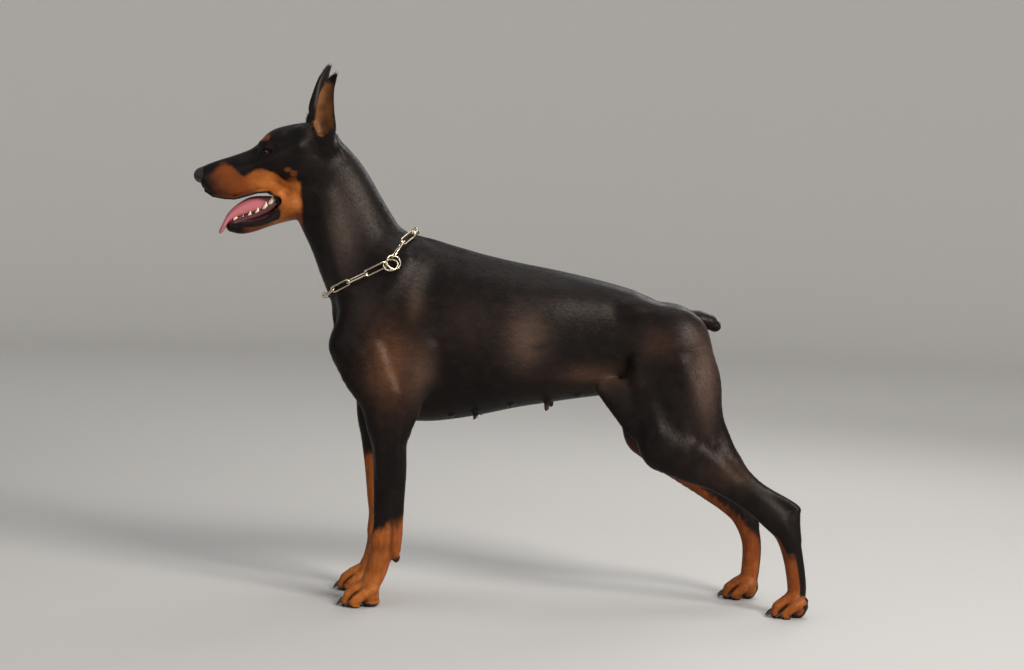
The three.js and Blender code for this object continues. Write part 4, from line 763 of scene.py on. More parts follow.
def sample_field(axes):
    """The skin's distance at each node. A block far from the surface gets one value for all its nodes."""
    shape = [len(axis) for axis in axes]
    values = np.full(shape, 50.0, dtype=np.float32)
    corners = np.array(list(itertools.product(*[np.arange(0, n, BLOCK) for n in shape])))
    ends = np.minimum(corners + BLOCK, np.array(shape) - 1)
    low, high = at_nodes(axes, corners), at_nodes(axes, ends)
    there = in_chunks(skin_distance, (low + high) / 2)
    near = np.abs(there) < np.linalg.norm(high - low, axis=1) / 2 * 1.5 + 3
    for (i, j, k), value in zip(corners[~near], there[~near]):
        values[i:i + BLOCK, j:j + BLOCK, k:k + BLOCK] = value
    cells = np.array(list(itertools.product(range(BLOCK), repeat=3)))
    nodes = (corners[near][:, None] + cells[None]).reshape(-1, 3)
    nodes = nodes[(nodes < np.array(shape)).all(axis=1)]
    values[tuple(nodes.T)] = in_chunks(skin_distance, at_nodes(axes, nodes))
    return values


def crossings(axes, values, active):
    """For each active cell, the middle of the places where the surface crosses its edges."""
    places, weight = np.zeros((len(active), 3)), np.zeros(len(active))
    for axis in range(3):
        step = np.eye(3, dtype=int)[axis]
        others = np.delete(np.eye(3, dtype=int), axis, axis=0)
        for a, b in itertools.product((0, 1), repeat=2):
            start = active + a * others[0] + b * others[1]
            va, vb = values[tuple(start.T)], values[tuple((start + step).T)]
            cross = (va < 0) != (vb < 0)
            place = at_nodes(axes, start[cross])
            reach = axes[axis][start[cross, axis] + 1] - axes[axis][start[cross, axis]]
            place[:, axis] += va[cross] / (va[cross] - vb[cross]) * reach
            places[cross] += place
            weight[cross] += 1
    return places / weight[:, None]


def cell_faces(inside, number):
    """Two triangles, turned outwards, across each edge of the grid that the surface crosses."""
    faces = []
    for axis in range(3):
        b, c = [np.eye(3, dtype=int)[(axis + i) % 3] for i in (1, 2)]
        spans = [slice(0 if i == axis else 1, n - 1) for i, n in enumerate(inside.shape)]
        ahead = [slice(1, n if i == axis else n - 1) for i, n in enumerate(inside.shape)]
        start = np.argwhere(inside[tuple(spans)] != inside[tuple(ahead)])
        start += np.array([0 if i == axis else 1 for i in range(3)])
        inner = inside[tuple(start.T)]
        quad = np.stack([number[tuple((start - move).T)] for move in (0 * b, b, b + c, c)], axis=1)
        quad[~inner] = quad[~inner][:, ::-1]
        faces += [quad[:, [0, 1, 2]], quad[:, [0, 2, 3]]]
    faces = np.concatenate(faces)
    return faces[(faces >= 0).all(axis=1)]


def net(grid):
    """Vertices and triangles of the field's surface, one vertex in each cell that it passes through."""
    axes = [grid_axis(stretches) for stretches in grid]
    values = sample_field(axes)
    inside = values < 0
    nx, ny, nz = (n - 1 for n in inside.shape)
    total = np.zeros((nx, ny, nz), dtype=np.int8)
    for i, j, k in itertools.product((0, 1), repeat=3):
        total += inside[i:nx + i, j:ny + j, k:nz + k]
    active = np.argwhere((total > 0) & (total < 8))
    number = np.full(total.shape, -1, dtype=np.int32)
    number[tuple(active.T)] = np.arange(len(active))
    return crossings(axes, values, active), cell_faces(inside, number)


def edges_of(faces):
    return np.concatenate([faces[:, [0, 1]], faces[:, [1, 2]], faces[:, [2, 0]]])


def split_long(verts, faces, longest):
    """Halves every edge that is longer than wanted at its middle, and fits new triangles."""
    unique, back = np.unique(np.sort(edges_of(faces), axis=1), axis=0, return_inverse=True)
    back = back.reshape(3, -1).T
    a, b = verts[unique[:, 0]], verts[unique[:, 1]]
    middle = (a + b) / 2
    cut = np.linalg.norm(a - b, axis=1) > longest(middle)
    new = np.full(len(unique), -1)
    new[cut] = len(verts) + np.arange(cut.sum())
    verts = np.concatenate([verts, middle[cut]])
    mids = new[back]
    count = (mids >= 0).sum(axis=1)
    kept = [faces[count == 0]]
    three, m = faces[count == 3], mids[count == 3]
    kept += [np.stack([three[:, 0], m[:, 0], m[:, 2]], 1), np.stack([three[:, 1], m[:, 1], m[:, 0]], 1)]
    kept += [np.stack([three[:, 2], m[:, 2], m[:, 1]], 1), m]
    for turn in range(3):
        order = [turn, (turn + 1) % 3, (turn + 2) % 3]
        face, m = faces[:, order], mids[:, order]
        one = (count == 1) & (m[:, 0] >= 0)
        p, q, r = face[one].T
        kept += [np.stack([p, m[one, 0], r], 1), np.stack([m[one, 0], q, r], 1)]
        two = (count == 2) & (m[:, 2] < 0)
        p, q, r = face[two].T
        kept += [np.stack([p, m[two, 0], m[two, 1]], 1), np.stack([m[two, 0], q, m[two, 1]], 1)]
        kept += [np.stack([p, m[two, 1], r], 1)]
    return verts, np.concatenate(kept)


def relax(verts, faces, share=0.5):
    """Moves each vertex towards the middle of its neighbours."""
    edges = edges_of(faces)
    total, count = np.zeros_like(verts), np.zeros(len(verts))
    for a, b in (edges.T, edges[:, ::-1].T):
        for axis in range(3):
            total[:, axis] += np.bincount(a, verts[b, axis], len(verts))
        count += np.bincount(a, minlength=len(verts))
    return verts + share * (total / np.maximum(count, 1)[:, None] - verts)


CORNERS = np.array([[1, -1, -1], [-1, -1, 1], [-1, 1, -1], [1, 1, 1]])  # of a tetrahedron


def skin_slope(points, step=0.3):
    """The way in which the distance grows most, with its steepness, from four samples."""
    return sum(corner * skin_distance(points + corner * step)[:, None] for corner in CORNERS) / (4 * step)


def onto_skin(verts, most=2.0):
    """Moves points along the slope of the field onto its surface."""
    d = in_chunks(skin_distance, verts)
    slope = in_chunks(skin_slope, verts)
    move = (d / np.maximum((slope ** 2).sum(axis=1), 0.2))[:, None] * slope
    size = np.linalg.norm(move, axis=1, keepdims=True)
    return verts - move * np.minimum(1, most / np.maximum(size, 1e-9))


COARSE_EDGE, FINE_EDGE = 9.0, 3.2
# Places in the head's frame with short edges: place, shortest edge, reach of the short and of the fine edges
FINE_SPOTS = [
    ((EYE_PLACE[0], EYE_PLACE[1] + 8, EYE_PLACE[2]), 0.9, 12, 26),
    ((EYE_PLACE[0], -EYE_PLACE[1] - 8, EYE_PLACE[2]), 0.9, 12, 26),
    ((208, 0, -38), 1.2, 18, 34),
]


def wanted_edge(points):
    """The longest edge allowed at a place: short at the eyes and the nose."""
    longest = np.full(len(points), COARSE_EDGE)
    for place, shortest, near, far in FINE_SPOTS:
        away = np.linalg.norm(points - on_head(*place), axis=1)
        longest = np.minimum(longest, mix(shortest, FINE_EDGE, smooth(near, far, away)))
    return longest


def ear_share(points, side):
    """How far along the ear's axis places lie, as a share of its length."""
    base, tip, _ = ear_frame(side)
    way = tip - base
    return np.where(points[:, 1] * side > 5, (points - base) @ way / (way @ way), -1)


def meshed(grid, keep, refined=False):
    """The part of the skin in one grid, smoothed, set on the field's surface and cut to what is kept."""
    verts, faces = net(grid)
    middle = verts[faces].mean(axis=1)
    used, faces = face_part(verts, faces, keep(middle))
    verts = relax(relax(verts[used], faces), faces)
    verts = onto_skin(verts)
    if refined:
        for _ in range(2):
            verts, faces = split_long(verts, faces, wanted_edge)
        verts = onto_skin(relax(verts, faces, 0.3), 1.2)
    verts[:, 2] = np.maximum(verts[:, 2], 0)
    return verts, faces


def face_part(verts, faces, keep):
    """The kept faces with their own vertices, and which vertices these are."""
    chosen = faces[keep]
    used = np.unique(chosen)
    number = np.zeros(len(verts), dtype=np.int64)
    number[used] = np.arange(len(used))
    return used, number[chosen]


EAR_SEAM = 0.34  # share of the ear's length above which it has a finer mesh of its own
EAR_OVERLAP = 0.035
EAR_ROOM = ([42, 40, -24], [36, 38, 8])  # of an ear's grid below and above the ends of its axis
MOUTH_OVERLAP = 4.5
MOUTH_RIM = 4  # of the mouth's grid, which its mesh leaves out
SINK = 0.35  # by which the rim of a finer mesh dips under the coarser one


def sunk(verts, depth):
    """Vertices moved into the skin by a depth that is given for each."""
    return verts - unit(in_chunks(skin_slope, verts)) * depth[:, None]


def mouth_depth(points):
    """How deep places lie within the box round the mouth, measured from its walls."""
    depth = np.full(len(points), np.inf)
    for axis, ((low, _), (high, _)) in enumerate(MOUTH_GRID):
        place = points[:, axis]
        depth = np.minimum(depth, np.minimum(place - (low + MOUTH_RIM), high - MOUTH_RIM - place))
    return depth


def whole_skin():
    """The meshes of body, ears and mouth, which overlap a little where they meet."""
    def body(points):
        ears = np.maximum(ear_share(points, -1), ear_share(points, 1)) > EAR_SEAM + EAR_OVERLAP
        return ~ears & (mouth_depth(points) < MOUTH_OVERLAP)

    parts = [meshed(BODY_GRID, body, refined=True)]
    mouth_verts, mouth_faces = meshed(MOUTH_GRID, lambda points: mouth_depth(points) > 0)
    dip = SINK * (1 - smooth(0, MOUTH_OVERLAP, mouth_depth(mouth_verts)))
    parts.append((sunk(mouth_verts, dip), mouth_faces))
    for side in SIDES.values():
        ends = np.array(ear_frame(side)[:2])
        low, high = ends.min(axis=0) - EAR_ROOM[0], ends.max(axis=0) + EAR_ROOM[1]
        grid = [[[a, EAR_CELL], [b, 0]] for a, b in zip(low, high)]

        def ear_part(points, side=side):
            return ear_share(points, side) > EAR_SEAM

        ear_verts, ear_faces = meshed(grid, ear_part)
        dip = SINK * (1 - smooth(EAR_SEAM, EAR_SEAM + EAR_OVERLAP, ear_share(ear_verts, side)))
        parts.append((sunk(ear_verts, dip), ear_faces))
    return join_meshes(parts)


def join_meshes(parts):
    verts, faces, start = [], [], 0
    for part_verts, part_faces in parts:
        verts.append(part_verts)
        faces.append(part_faces + start)
        start += len(part_verts)
    return np.concatenate(verts), np.concatenate(faces)


# Markings: where the coat is rust, and what shows between it, as colours of the places on the skin

BLACK_AND_SHADE = np.array([0.0042, 0.0036, 0.0040])
BROWN = np.array([0.020, 0.0115, 0.0085])
RUST = np.array([0.175, 0.042, 0.0095])
ORANGE = np.array([0.42, 0.130, 0.026])
RED = np.array([0.095, 0.018, 0.0055])
SMOKE_AND_SHADE = np.array([0.032, 0.012, 0.006])
TAN = np.array([0.40, 0.165, 0.055])
# Colours of the painted highlights on the black coat
GREY_PAINTED_SHEEN = np.array([0.062, 0.048, 0.042])
WARM_PAINTED_SHEEN = np.array([0.110, 0.046, 0.023])
# Painted highlights where light falls on the coat, or with minus painted shade in hollows, on both sides:
# centre, half sizes, strength, warmth
PAINTED_SHEENS_AND_SHADE = [
    ([-418, 60, 690], [34, 50, 90], 0.8, 0.1),
    ([-372, 95, 545], [26, 50, 50], 0.15, 0.4),
    ([-325, 100, 440], [42, 50, 70], 0.95, 1.0),
    ([-275, 100, 430], [30, 50, 55], 0.7, 0.5),
    ([-190, 100, 520], [60, 60, 50], 0.2, 0.3),
    ([-85, 100, 490], [42, 50, 55], 0.95, 0.3),
    ([40, 80, 425], [70, 50, 24], 0.7, 0.6),
    ([240, 90, 430], [28, 60, 95], 1.0, 0.3),
    ([150, 95, 490], [40, 60, 34], 0.3, 0.7),
    ([290, 95, 262], [46, 50, 30], 0.4, 0.6),
    ([-286, 90, 552], [15, 60, 38], 0.5, 0.5),
    ([-88, 100, 500], [30, 60, 34], 0.3, 0.3),
    ([-60, 100, 480], [18, 60, 8], -0.6, 0),
    ([-6, 90, 410], [56, 60, 9], -0.6, 0),
    ([206, 80, 499], [20, 60, 15], 0.5, 0.2),
    ([-252, 100, 388], [24, 60, 20], -0.7, 0),
]
FORE_STEP = 13  # how far the right wrist stands before the left one
DARK_SKIN = np.array([0.012, 0.009, 0.009])
TEAT_SKIN = np.array([0.05, 0.024, 0.02])

# The border on the side of the muzzle between the black above and the rust below, in the head's frame
MUZZLE_LINE = [[36, -104], [61, -92], [75, -75], [86, -66], [99, -59], [119, -62], [129, -63],
               [136, -54], [144, -42], [157, -32], [173, -35], [188, -42], [206, -52]]
# The rear border of the rust on the cheek, as height against reach forward
CHEEK_LINE = [[-190, 60], [-170, 54], [-148, 47], [-125, 42], [-103, 36], [-90, 44]]
LIP_LINE = [[84, -114], [99, -104], [127, -101.5], [142, -100.5], [164, -97.5], [185, -89], [200, -78],
            [210, -62], [214, -46]]
FACE_SPOTS = [[49, -77, 6, 5], [41, -88, 7, 7], [46, -98, 9, 9]]  # u, v and half sizes of flecks on the cheek


HASH_PRIMES = (73856093, 19349663, 83492791, 2654435761)


def hashed(*keys):
    """A fixed pseudo-random number from 0 to 1 for each whole place and a seed."""
    mixed = 0
    for key, prime in zip(keys, HASH_PRIMES):
        mixed = mixed ^ (key * prime)
    mixed = (mixed ^ (mixed >> 13)) * 1274126177 & 0xFFFFFFFF
    return ((mixed ^ (mixed >> 16)) & 0xFFFF) / 65535.0


def noise(points, size, seed=0):
    """Smooth noise from -1 to 1 with features of the given size, which may differ by axis."""
    scaled = points / np.asarray(size, dtype=float)
    whole = np.floor(scaled).astype(np.int64)
    part = scaled - whole
    part = part * part * (3 - 2 * part)
    total = np.zeros(len(points))
    for corner in itertools.product((0, 1), repeat=3):
        share = np.prod([part[:, a] if corner[a] else 1 - part[:, a] for a in range(3)], axis=0)
        total += share * hashed(*(whole[:, a] + corner[a] for a in range(3)), seed)
    return total * 2 - 1


def blot(points, centre, radii, ragged=0.0):
    """1 inside an oval, 0 outside, with a soft ragged edge."""
    away = np.linalg.norm((points - centre) / radii, axis=1)
    return 1 - smooth(0.75, 1.15, away + ragged)


def painted(colour, tint, share):
    """Colours with a tint laid over them, by a share for each place."""
    return mix(colour, tint, share[:, None])


def rust_on_head(points, rough):
    """The rust of muzzle, cheek, chin and brow, from 0 to 1."""
    x, y = points[:, 0], points[:, 1]
    u, _, v = to_head(points).T
    soft = mix(3.0, 7.0, smooth(110, 160, u))
    below = smooth(-1, 1, (read_table(MUZZLE_LINE, u) - v + 3.5 * rough) / soft)
    behind = smooth(-4, 4, u - read_table(CHEEK_LINE, v) + 4 * rough)
    front = 1 - smooth(186, 200, u + 4 * rough)
    share = below * behind * front
    chin = smooth(-604, -588, x + 5 * rough)
    share = np.where(v < read_table(LIP_LINE, u) - 16, share * chin, share)
    for du, dv, wide, tall in FACE_SPOTS:
        away = np.hypot((u - du) / wide, (v - dv) / tall) + 0.5 * rough
        share = np.maximum(share, 0.8 * (1 - smooth(0.6, 1.1, away)) * (np.abs(y) > 25))
    brow = np.hypot((u - 69) / 8.5, (v + 10) / 6) + 0.4 * rough
    return np.maximum(share, (1 - smooth(0.65, 1.1, brow)) * (np.abs(y) > 14) * (np.abs(y) < 42))


def rust_share(points, normals):
    """How much of the coat is rust, from 0 to 1."""
    x, y, z = points.T
    rough = 0.6 * noise(points, 9, 1) + 0.4 * noise(points, 3.5, 2)
    share = np.where((to_head(points)[:, 0] > -20) & (z > 655), rust_on_head(points, rough), 0)
    to_front, inner = -normals[:, 0], -np.sign(y) * normals[:, 1]
    # On the legs the rust ends at a height that rises towards the front and the inner side
    height = 148 - 18 * to_front + 122 * smooth(0.25, 0.95, 0.75 * to_front + 0.65 * inner) + 9 * rough
    fore = (x < -230) & (z < 330) & (np.abs(y) > 30)
    share = np.where(fore, 1 - smooth(-12, 12, z - height), share)
    outer_height = 112 + 8 * rough + 95 * smooth(0.35, 0.95, to_front) - 240 * smooth(0.1, 0.5, normals[:, 0])
    inner_height = 300 - 0.85 * np.maximum(x - 150, 0) + 12 * rough
    height = mix(outer_height, inner_height, smooth(0.15, 0.5, inner + 0.25 * to_front))
    hind = (x > 60) & (z < 470) & (np.abs(y) > 3)
    paw = (z < 34) * (normals[:, 0] < 0.55)
    share = np.where(hind, np.maximum(1 - smooth(-9, 9, z - height), paw), share)
    chest = blot(points, [-425, 0, 468], [60, 1e3, 34], 0.22 * rough) * smooth(10, 16, np.abs(y))
    chest = chest * (1 - smooth(46, 58, np.abs(y) + 5 * rough)) * (to_front > 0.2)
    under_tail = blot(points, [236, 0, 488], [34, 26, 26], 0.2 * rough) * (normals[:, 2] < 0.35)
    return np.maximum(np.maximum(share, chest), under_tail)


def dark_coat(points, rough, fine):
    """Black with a brown cast, with painted highlights and painted shade laid over it."""
    y = points[:, 1]
    dark = painted(BLACK_AND_SHADE, BROWN, np.clip(0.12 + 0.22 * rough + 0.08 * fine, 0, 1))
    mirror = np.column_stack([np.ones_like(y), np.sign(y), np.ones_like(y)])
    # Each spot paints a highlight over the black, or with minus strength painted shade
    for centre, radii, strength, warmth in PAINTED_SHEENS_AND_SHADE:
        away = np.abs(points - np.array(centre) * mirror) / radii
        painted_light_share = np.exp(-1.3 * (away ** 2).sum(axis=1)) * abs(strength) * (0.95 + 0.14 * fine + 0.12 * rough)
        tint = mix(GREY_PAINTED_SHEEN, WARM_PAINTED_SHEEN, warmth) if strength > 0 else BLACK_AND_SHADE
        dark = painted(dark, tint, np.clip(painted_light_share, 0, 1))
    return dark


def leg_rust(points, normals, rough, fine):
    """Rust in soft upright strands, redder above, smoky on the inner thigh, painted lighter on the forelegs,
    with painted shade in the sinew's groove and between the toes.
    """
    x, y, z = points.T
    low = 1 - smooth(40, 110, z)
    # The forelegs are painted lighter and less red than the hind legs, as painted light
    fore = smooth(-100, -200, x)
    bright = np.clip(0.02 + 0.34 * fore + 0.22 * rough + 0.15 * fine + 0.28 * low, 0, 1)
    strand = noise(points, [2.4, 2.4, 17], 41) * smooth(320, 260, z)
    rust = painted(RUST, ORANGE, np.clip(bright + 0.22 * strand, 0, 1))
    redness = np.clip(0.45 + 0.5 * noise(points, 22, 8) - 0.35 * low - 0.4 * fore, 0, 1) * (z < 300)
    rust = painted(rust, RED, 0.75 * redness)
    rust = painted(rust, SMOKE_AND_SHADE, 0.92 * smooth(235, 285, z) * (x > 60))
    # Painted shade in the groove between the bone and the sinew above the wrist
    sinew_at = -316 - FORE_STEP * (y > 0)
    groove_shade = np.exp(-((x - sinew_at) / 3.6) ** 2) * smooth(84, 104, z) * smooth(186, 150, z)
    rust = painted(rust, SMOKE_AND_SHADE, 0.6 * groove_shade)
    # Painted shade in the creases of the feet, between toes and pads, where two forms meet
    crease_shade = np.zeros(len(points))
    footing = z < 60
    outside = points[footing] + 3 * normals[footing]  # less far from the flesh where two forms meet
    crease_shade[footing] = smooth(2.85, 1.9, in_chunks(skin_distance, outside))
    return painted(rust, SMOKE_AND_SHADE, 0.8 * crease_shade)


def face_rust(points, rough, fine):
    """Rust that runs from smoky at the nose to orange on the cheek, with a dark edge along the lip."""
    y = points[:, 1]
    u, _, v = to_head(points).T
    rust = painted(SMOKE_AND_SHADE, RUST, smooth(200, 150, u + 8 * rough + 5 * fine))
    bright = np.clip(0.72 + 0.4 * rough + 0.2 * fine, 0, 1)
    rust = painted(rust, ORANGE, smooth(140, 98, u + 6 * rough) * bright)
    rust = painted(rust, RED, 0.75 * smooth(-138, -160, v) * smooth(90, 60, u))
    lower_edge = smooth(14, 3, v - read_table(LIP_LINE, u)) * (v > -118) * smooth(100, 130, u)
    rust = painted(rust, SMOKE_AND_SHADE, 0.7 * lower_edge)
    brow_spot = ((np.abs(y) > 14) & (v > -22) & (u < 90))[:, None]
    rust = np.where(brow_spot, mix(RED, RUST, 0.6), rust)
    return painted(rust, RED, 0.7 * smooth(60, 50, u) * smooth(-106, -92, v))


def lip_share(points, rough, side):
    """Where the bare black rims of the lips show, from 0 to 1."""
    x, _, z = points.T
    u, _, v = to_head(points).T
    share = np.zeros(len(points))
    mandible = (z > 650) & (z < 732) & (x < -520) & (x > -632)
    lower, *_ = cord(all_aside(side, LOWER_LIP))
    share[mandible] = 1 - smooth(0.8, 3.2, lower(points[mandible]) + 0.8 * rough[mandible])
    upper = (u > 70) & (u < 214) & (v > -130) & (v < -50)
    rim, *_ = cord(head_rows(side, UPPER_LIP))
    over_rim = v[upper] - read_table(sorted([row[0], row[2]] for row in UPPER_LIP), u[upper])
    edge = smooth(1.2, -1.4, over_rim - 3 * smooth(100, 90, u[upper]))
    share[upper] = np.maximum(share[upper], (1 - smooth(0.6, 2.4, rim(points[upper]))) * edge)
    return share


def inner_ear_share(points, normals, rough, side):
    """Where the ear's inside shows its thin tan hair, from 0 to 1."""
    base, tip, facing = ear_frame(side)
    cup, *_ = ear_cup(side)
    outer, *_ = ear_leaf(side)
    place = (points[:, 1] * side > 8) & (points[:, 2] > 830)
    share = np.zeros(len(points))
    share[place] = 1 - smooth(0.8, 2.6, cup(points[place]))
    share[place] *= smooth(-0.5, 0.1, normals[place] @ unit(facing))
    share[place] *= smooth(-0.4, -2.2, outer(points[place]) + 0.6 * rough[place])
    return share * smooth(122, 106, (points - base) @ unit(tip - base) + 4 * rough)


def coat_colours(points, normals):
    """The colours of the coat and the skin at places on the dog, in linear light, with painted highlights and
    painted shade.
    """
    x, y, z = points.T
    rough = noise(points, 14, 5)
    fine = noise(points, [6, 2.0, 2.0], 6)
    on_face = ((to_head(points)[:, 0] > 20) & (z > 655))[:, None]
    rust = np.where(on_face, face_rust(points, rough, fine), leg_rust(points, normals, rough, fine))
    colour = painted(dark_coat(points, rough, fine), rust, rust_share(points, normals))
    for side in SIDES.values():
        colour = painted(colour, DARK_SKIN, lip_share(points, rough, side))
    corner = np.zeros(len(points))
    near = (x > -575) & (x < -515) & (z > 690) & (z < 765) & (np.abs(y) < 36)
    corner[near] = smooth(6.5, 4, mouth_field.distance(points[near]) + 0.8 * rough[near])
    colour = painted(colour, DARK_SKIN, corner)
    inner_ear = painted(TAN, SMOKE_AND_SHADE, np.clip(0.15 + 0.5 * rough, 0, 0.6))
    for side in SIDES.values():
        colour = painted(colour, inner_ear, 0.9 * inner_ear_share(points, normals, rough, side))
    for side in SIDES.values():
        lid = 1 - smooth(EYE_RADIUS + 1.5, EYE_RADIUS + 4, np.linalg.norm(points - eye_centre(side), axis=1))
        colour = painted(colour, DARK_SKIN, lid)
        for teat in TEATS:
            wide = teat[4]
            bare = 1 - smooth(wide, wide * 2.2, np.linalg.norm(points - teat_place(side, teat), axis=1))
            colour = painted(colour, TEAT_SKIN, 0.85 * bare)
    for side in SIDES.values():
        wrist_pad = [-304 - FORE_STEP * (side > 0), side * 86, 85]
        bare = 1 - smooth(6.5, 10, np.linalg.norm(points - wrist_pad, axis=1) + rough)
        colour = painted(colour, DARK_SKIN, 0.9 * bare)
    colour[(z < 7) & (normals[:, 2] < -0.3)] = DARK_SKIN
    return colour


# Building meshes

# Charts of the unwrap: side views of each half, views from above and below, and from front and rear
CHART_SCALE = 0.00035  # of the unwrap, per millimetre
CHART_SIZE = (1160, 252, 980)  # room for the dog's length, width and height
CHART_START = (-700, -126, 0)


def unwrap(points, normals):
    """Places on a flat unwrap of the dog, in charts by the direction that the skin faces."""
    x, y, z = (points - CHART_START).T
    wide, deep, tall = CHART_SIZE
    axis = np.argmax(np.abs(normals) * [1, 1.25, 1], axis=1)
    positive = normals[np.arange(len(points)), axis] > 0
    uv = np.zeros((len(points), 2))
    aside_y = axis == 1
    uv[aside_y, 0] = x[aside_y] + wide * positive[aside_y]
    uv[aside_y, 1] = z[aside_y] + tall * (points[aside_y, 1] > 0)
    upward = axis == 2
    uv[upward, 0] = x[upward] + wide * positive[upward]
    uv[upward, 1] = y[upward] + 2 * tall
    ahead = axis == 0
    uv[ahead, 0] = z[ahead] + tall * positive[ahead]
    uv[ahead, 1] = y[ahead] + 2 * tall + deep * np.where(points[ahead, 0] < -100, 1, 2)
    return uv * CHART_SCALE + 0.01


def to_frame(points):
    """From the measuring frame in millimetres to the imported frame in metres."""
    return (points - [MID_X, 0, 0]) / 1000


def make_mesh(name, verts, faces, normals=None, colours=None, uvs=None, values=None):
    """A mesh object from arrays: triangles, or rows of any one size."""
    mesh = bpy.data.meshes.new(name)
    count, size = faces.shape
    mesh.vertices.add(len(verts))
    mesh.vertices.foreach_set("co", to_frame(verts).astype(np.float32).ravel())
    mesh.loops.add(count * size)
    mesh.loops.foreach_set("vertex_index", faces.astype(np.int32).ravel())
    mesh.polygons.add(count)
    mesh.polygons.foreach_set("loop_start", np.arange(0, count * size, size, dtype=np.int32))
    mesh.polygons.foreach_set("loop_total", np.full(count, size, dtype=np.int32))
    mesh.update(calc_edges=True)
    mesh.polygons.foreach_set("use_smooth", np.ones(count, dtype=bool))
    if colours is not None:
        layer = mesh.color_attributes.new("coat_colour", "FLOAT_COLOR", "POINT")
        opaque = np.column_stack([colours, np.ones(len(verts))])
        layer.data.foreach_set("color", opaque.astype(np.float32).ravel())
    for key, value in (values or {}).items():
        layer = mesh.attributes.new(key, "FLOAT", "POINT")
        layer.data.foreach_set("value", value.astype(np.float32))
    if uvs is not None:
        layer = mesh.uv_layers.new(name="OFBake")
        layer.data.foreach_set("uv", uvs.astype(np.float32).ravel())
    if normals is not None:
        mesh.normals_split_custom_set_from_vertices(normals.astype(np.float32))
    piece = bpy.data.objects.new(name, mesh)
    bpy.context.collection.objects.link(piece)
    return piece


def finish_piece(piece, material, nodes=()):
    piece.data.materials.append(material)
    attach(piece, "root")
    if nodes:
        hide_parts(*nodes)
    return piece


def ring_faces(count, sides, closed=False):
    """Triangles between rings of vertices, of which the last may join the first."""
    i, s = np.meshgrid(np.arange(count if closed else count - 1), np.arange(sides), indexing="ij")
    after = (s + 1) % sides
    a, b = i * sides + s, i * sides + after
    c, d = (i + 1) % count * sides + s, (i + 1) % count * sides + after
    return np.concatenate([np.stack([a, b, d], -1).reshape(-1, 3), np.stack([a, d, c], -1).reshape(-1, 3)])


def capped(verts, faces, sides, ends):
    """A tube of rings closed by a point at each end."""
    first, last_ring = len(verts), len(verts) - sides
    s, t = np.arange(sides), (np.arange(sides) + 1) % sides
    start = np.stack([np.full(sides, first), t, s], 1)
    end = np.stack([np.full(sides, first + 1), last_ring + s, last_ring + t], 1)
    return np.concatenate([verts, ends]), np.concatenate([faces, start, end])


def tube(path, radii, sides=12, ring=False, flat=(1, 1)):
    """Rings of vertices round a path with a radius at each place, with rounded ends."""
    path, radii = np.asarray(path, dtype=float), np.asarray(radii, dtype=float)
    along = unit(np.roll(path, -1, 0) - np.roll(path, 1, 0) if ring else np.gradient(path, axis=0))
    across = np.cross(along[0], [0, 0, 1] if abs(along[0][2]) < 0.9 else [0, 1, 0])
    turn = 2 * np.pi * np.arange(sides) / sides
    cos, sin = flat[0] * np.cos(turn)[:, None], flat[1] * np.sin(turn)[:, None]
    rings = []
    for place, way, radius in zip(path, along, radii):
        across = unit(across - across @ way * way)
        rings.append(place + radius * (cos * across + sin * np.cross(way, across)))
    verts, faces = np.concatenate(rings), ring_faces(len(path), sides, ring)
    return (verts, faces) if ring else capped(verts, faces, sides, path[[0, -1]])


# Materials

GLOSS = 0.135  # strength of the coat's reflections
GLOSS_TINT = (1.0, 0.86, 0.76, 1)  # which are warm, as on dark hair in the sun
STREAKS = (0, 45, 90, 135)  # ways in which fine streaks run in the side plane, in degrees
STREAK_WIDTH, STREAK_LENGTH = 0.0011, 0.011


def new_material(name):
    material = bpy.data.materials.new(name)
    material.use_nodes = True
    nodes, links = material.node_tree.nodes, material.node_tree.links
    return material, nodes, links, nodes["Principled BSDF"]


def set_inputs(shader, **values):
    for key, value in values.items():
        shader.inputs[key.replace("_", " ")].default_value = value


def add_node(nodes, kind, inputs=None, **settings):
    node = nodes.new(kind)
    for key, value in settings.items():
        setattr(node, key, value)
    for key, value in (inputs or {}).items():
        node.inputs[key].default_value = value
    return node


def stretched_noise(nodes, links, place, turn):
    """Streaks in the side plane that run at an angle."""
    mapping = add_node(nodes, "ShaderNodeMapping", {"Rotation": (0, radians(turn), 0)})
    links.new(place, mapping.inputs["Vector"])
    stretch = (1 / STREAK_LENGTH, 1 / STREAK_WIDTH, 1 / STREAK_WIDTH)
    scale = add_node(nodes, "ShaderNodeMapping", {"Scale": stretch})
    links.new(mapping.outputs["Vector"], scale.inputs["Vector"])
    texture = add_node(nodes, "ShaderNodeTexNoise", {"Scale": 1.0, "Detail": 3.0, "Roughness": 0.6})
    links.new(scale.outputs["Vector"], texture.inputs["Vector"])
    return texture.outputs["Fac"]


def coloured_material(name, roughness, sheen):
    """A material that takes its colour from the mesh."""
    material, nodes, links, shader = new_material(name)
    colour = add_node(nodes, "ShaderNodeAttribute", attribute_name="coat_colour").outputs["Color"]
    links.new(colour, shader.inputs["Base Color"])
    set_inputs(shader, Roughness=roughness, Sheen_Weight=sheen, Sheen_Roughness=0.4)
    set_inputs(shader, Specular_IOR_Level=GLOSS, Specular_Tint=GLOSS_TINT)
    return material, nodes, links, shader, colour


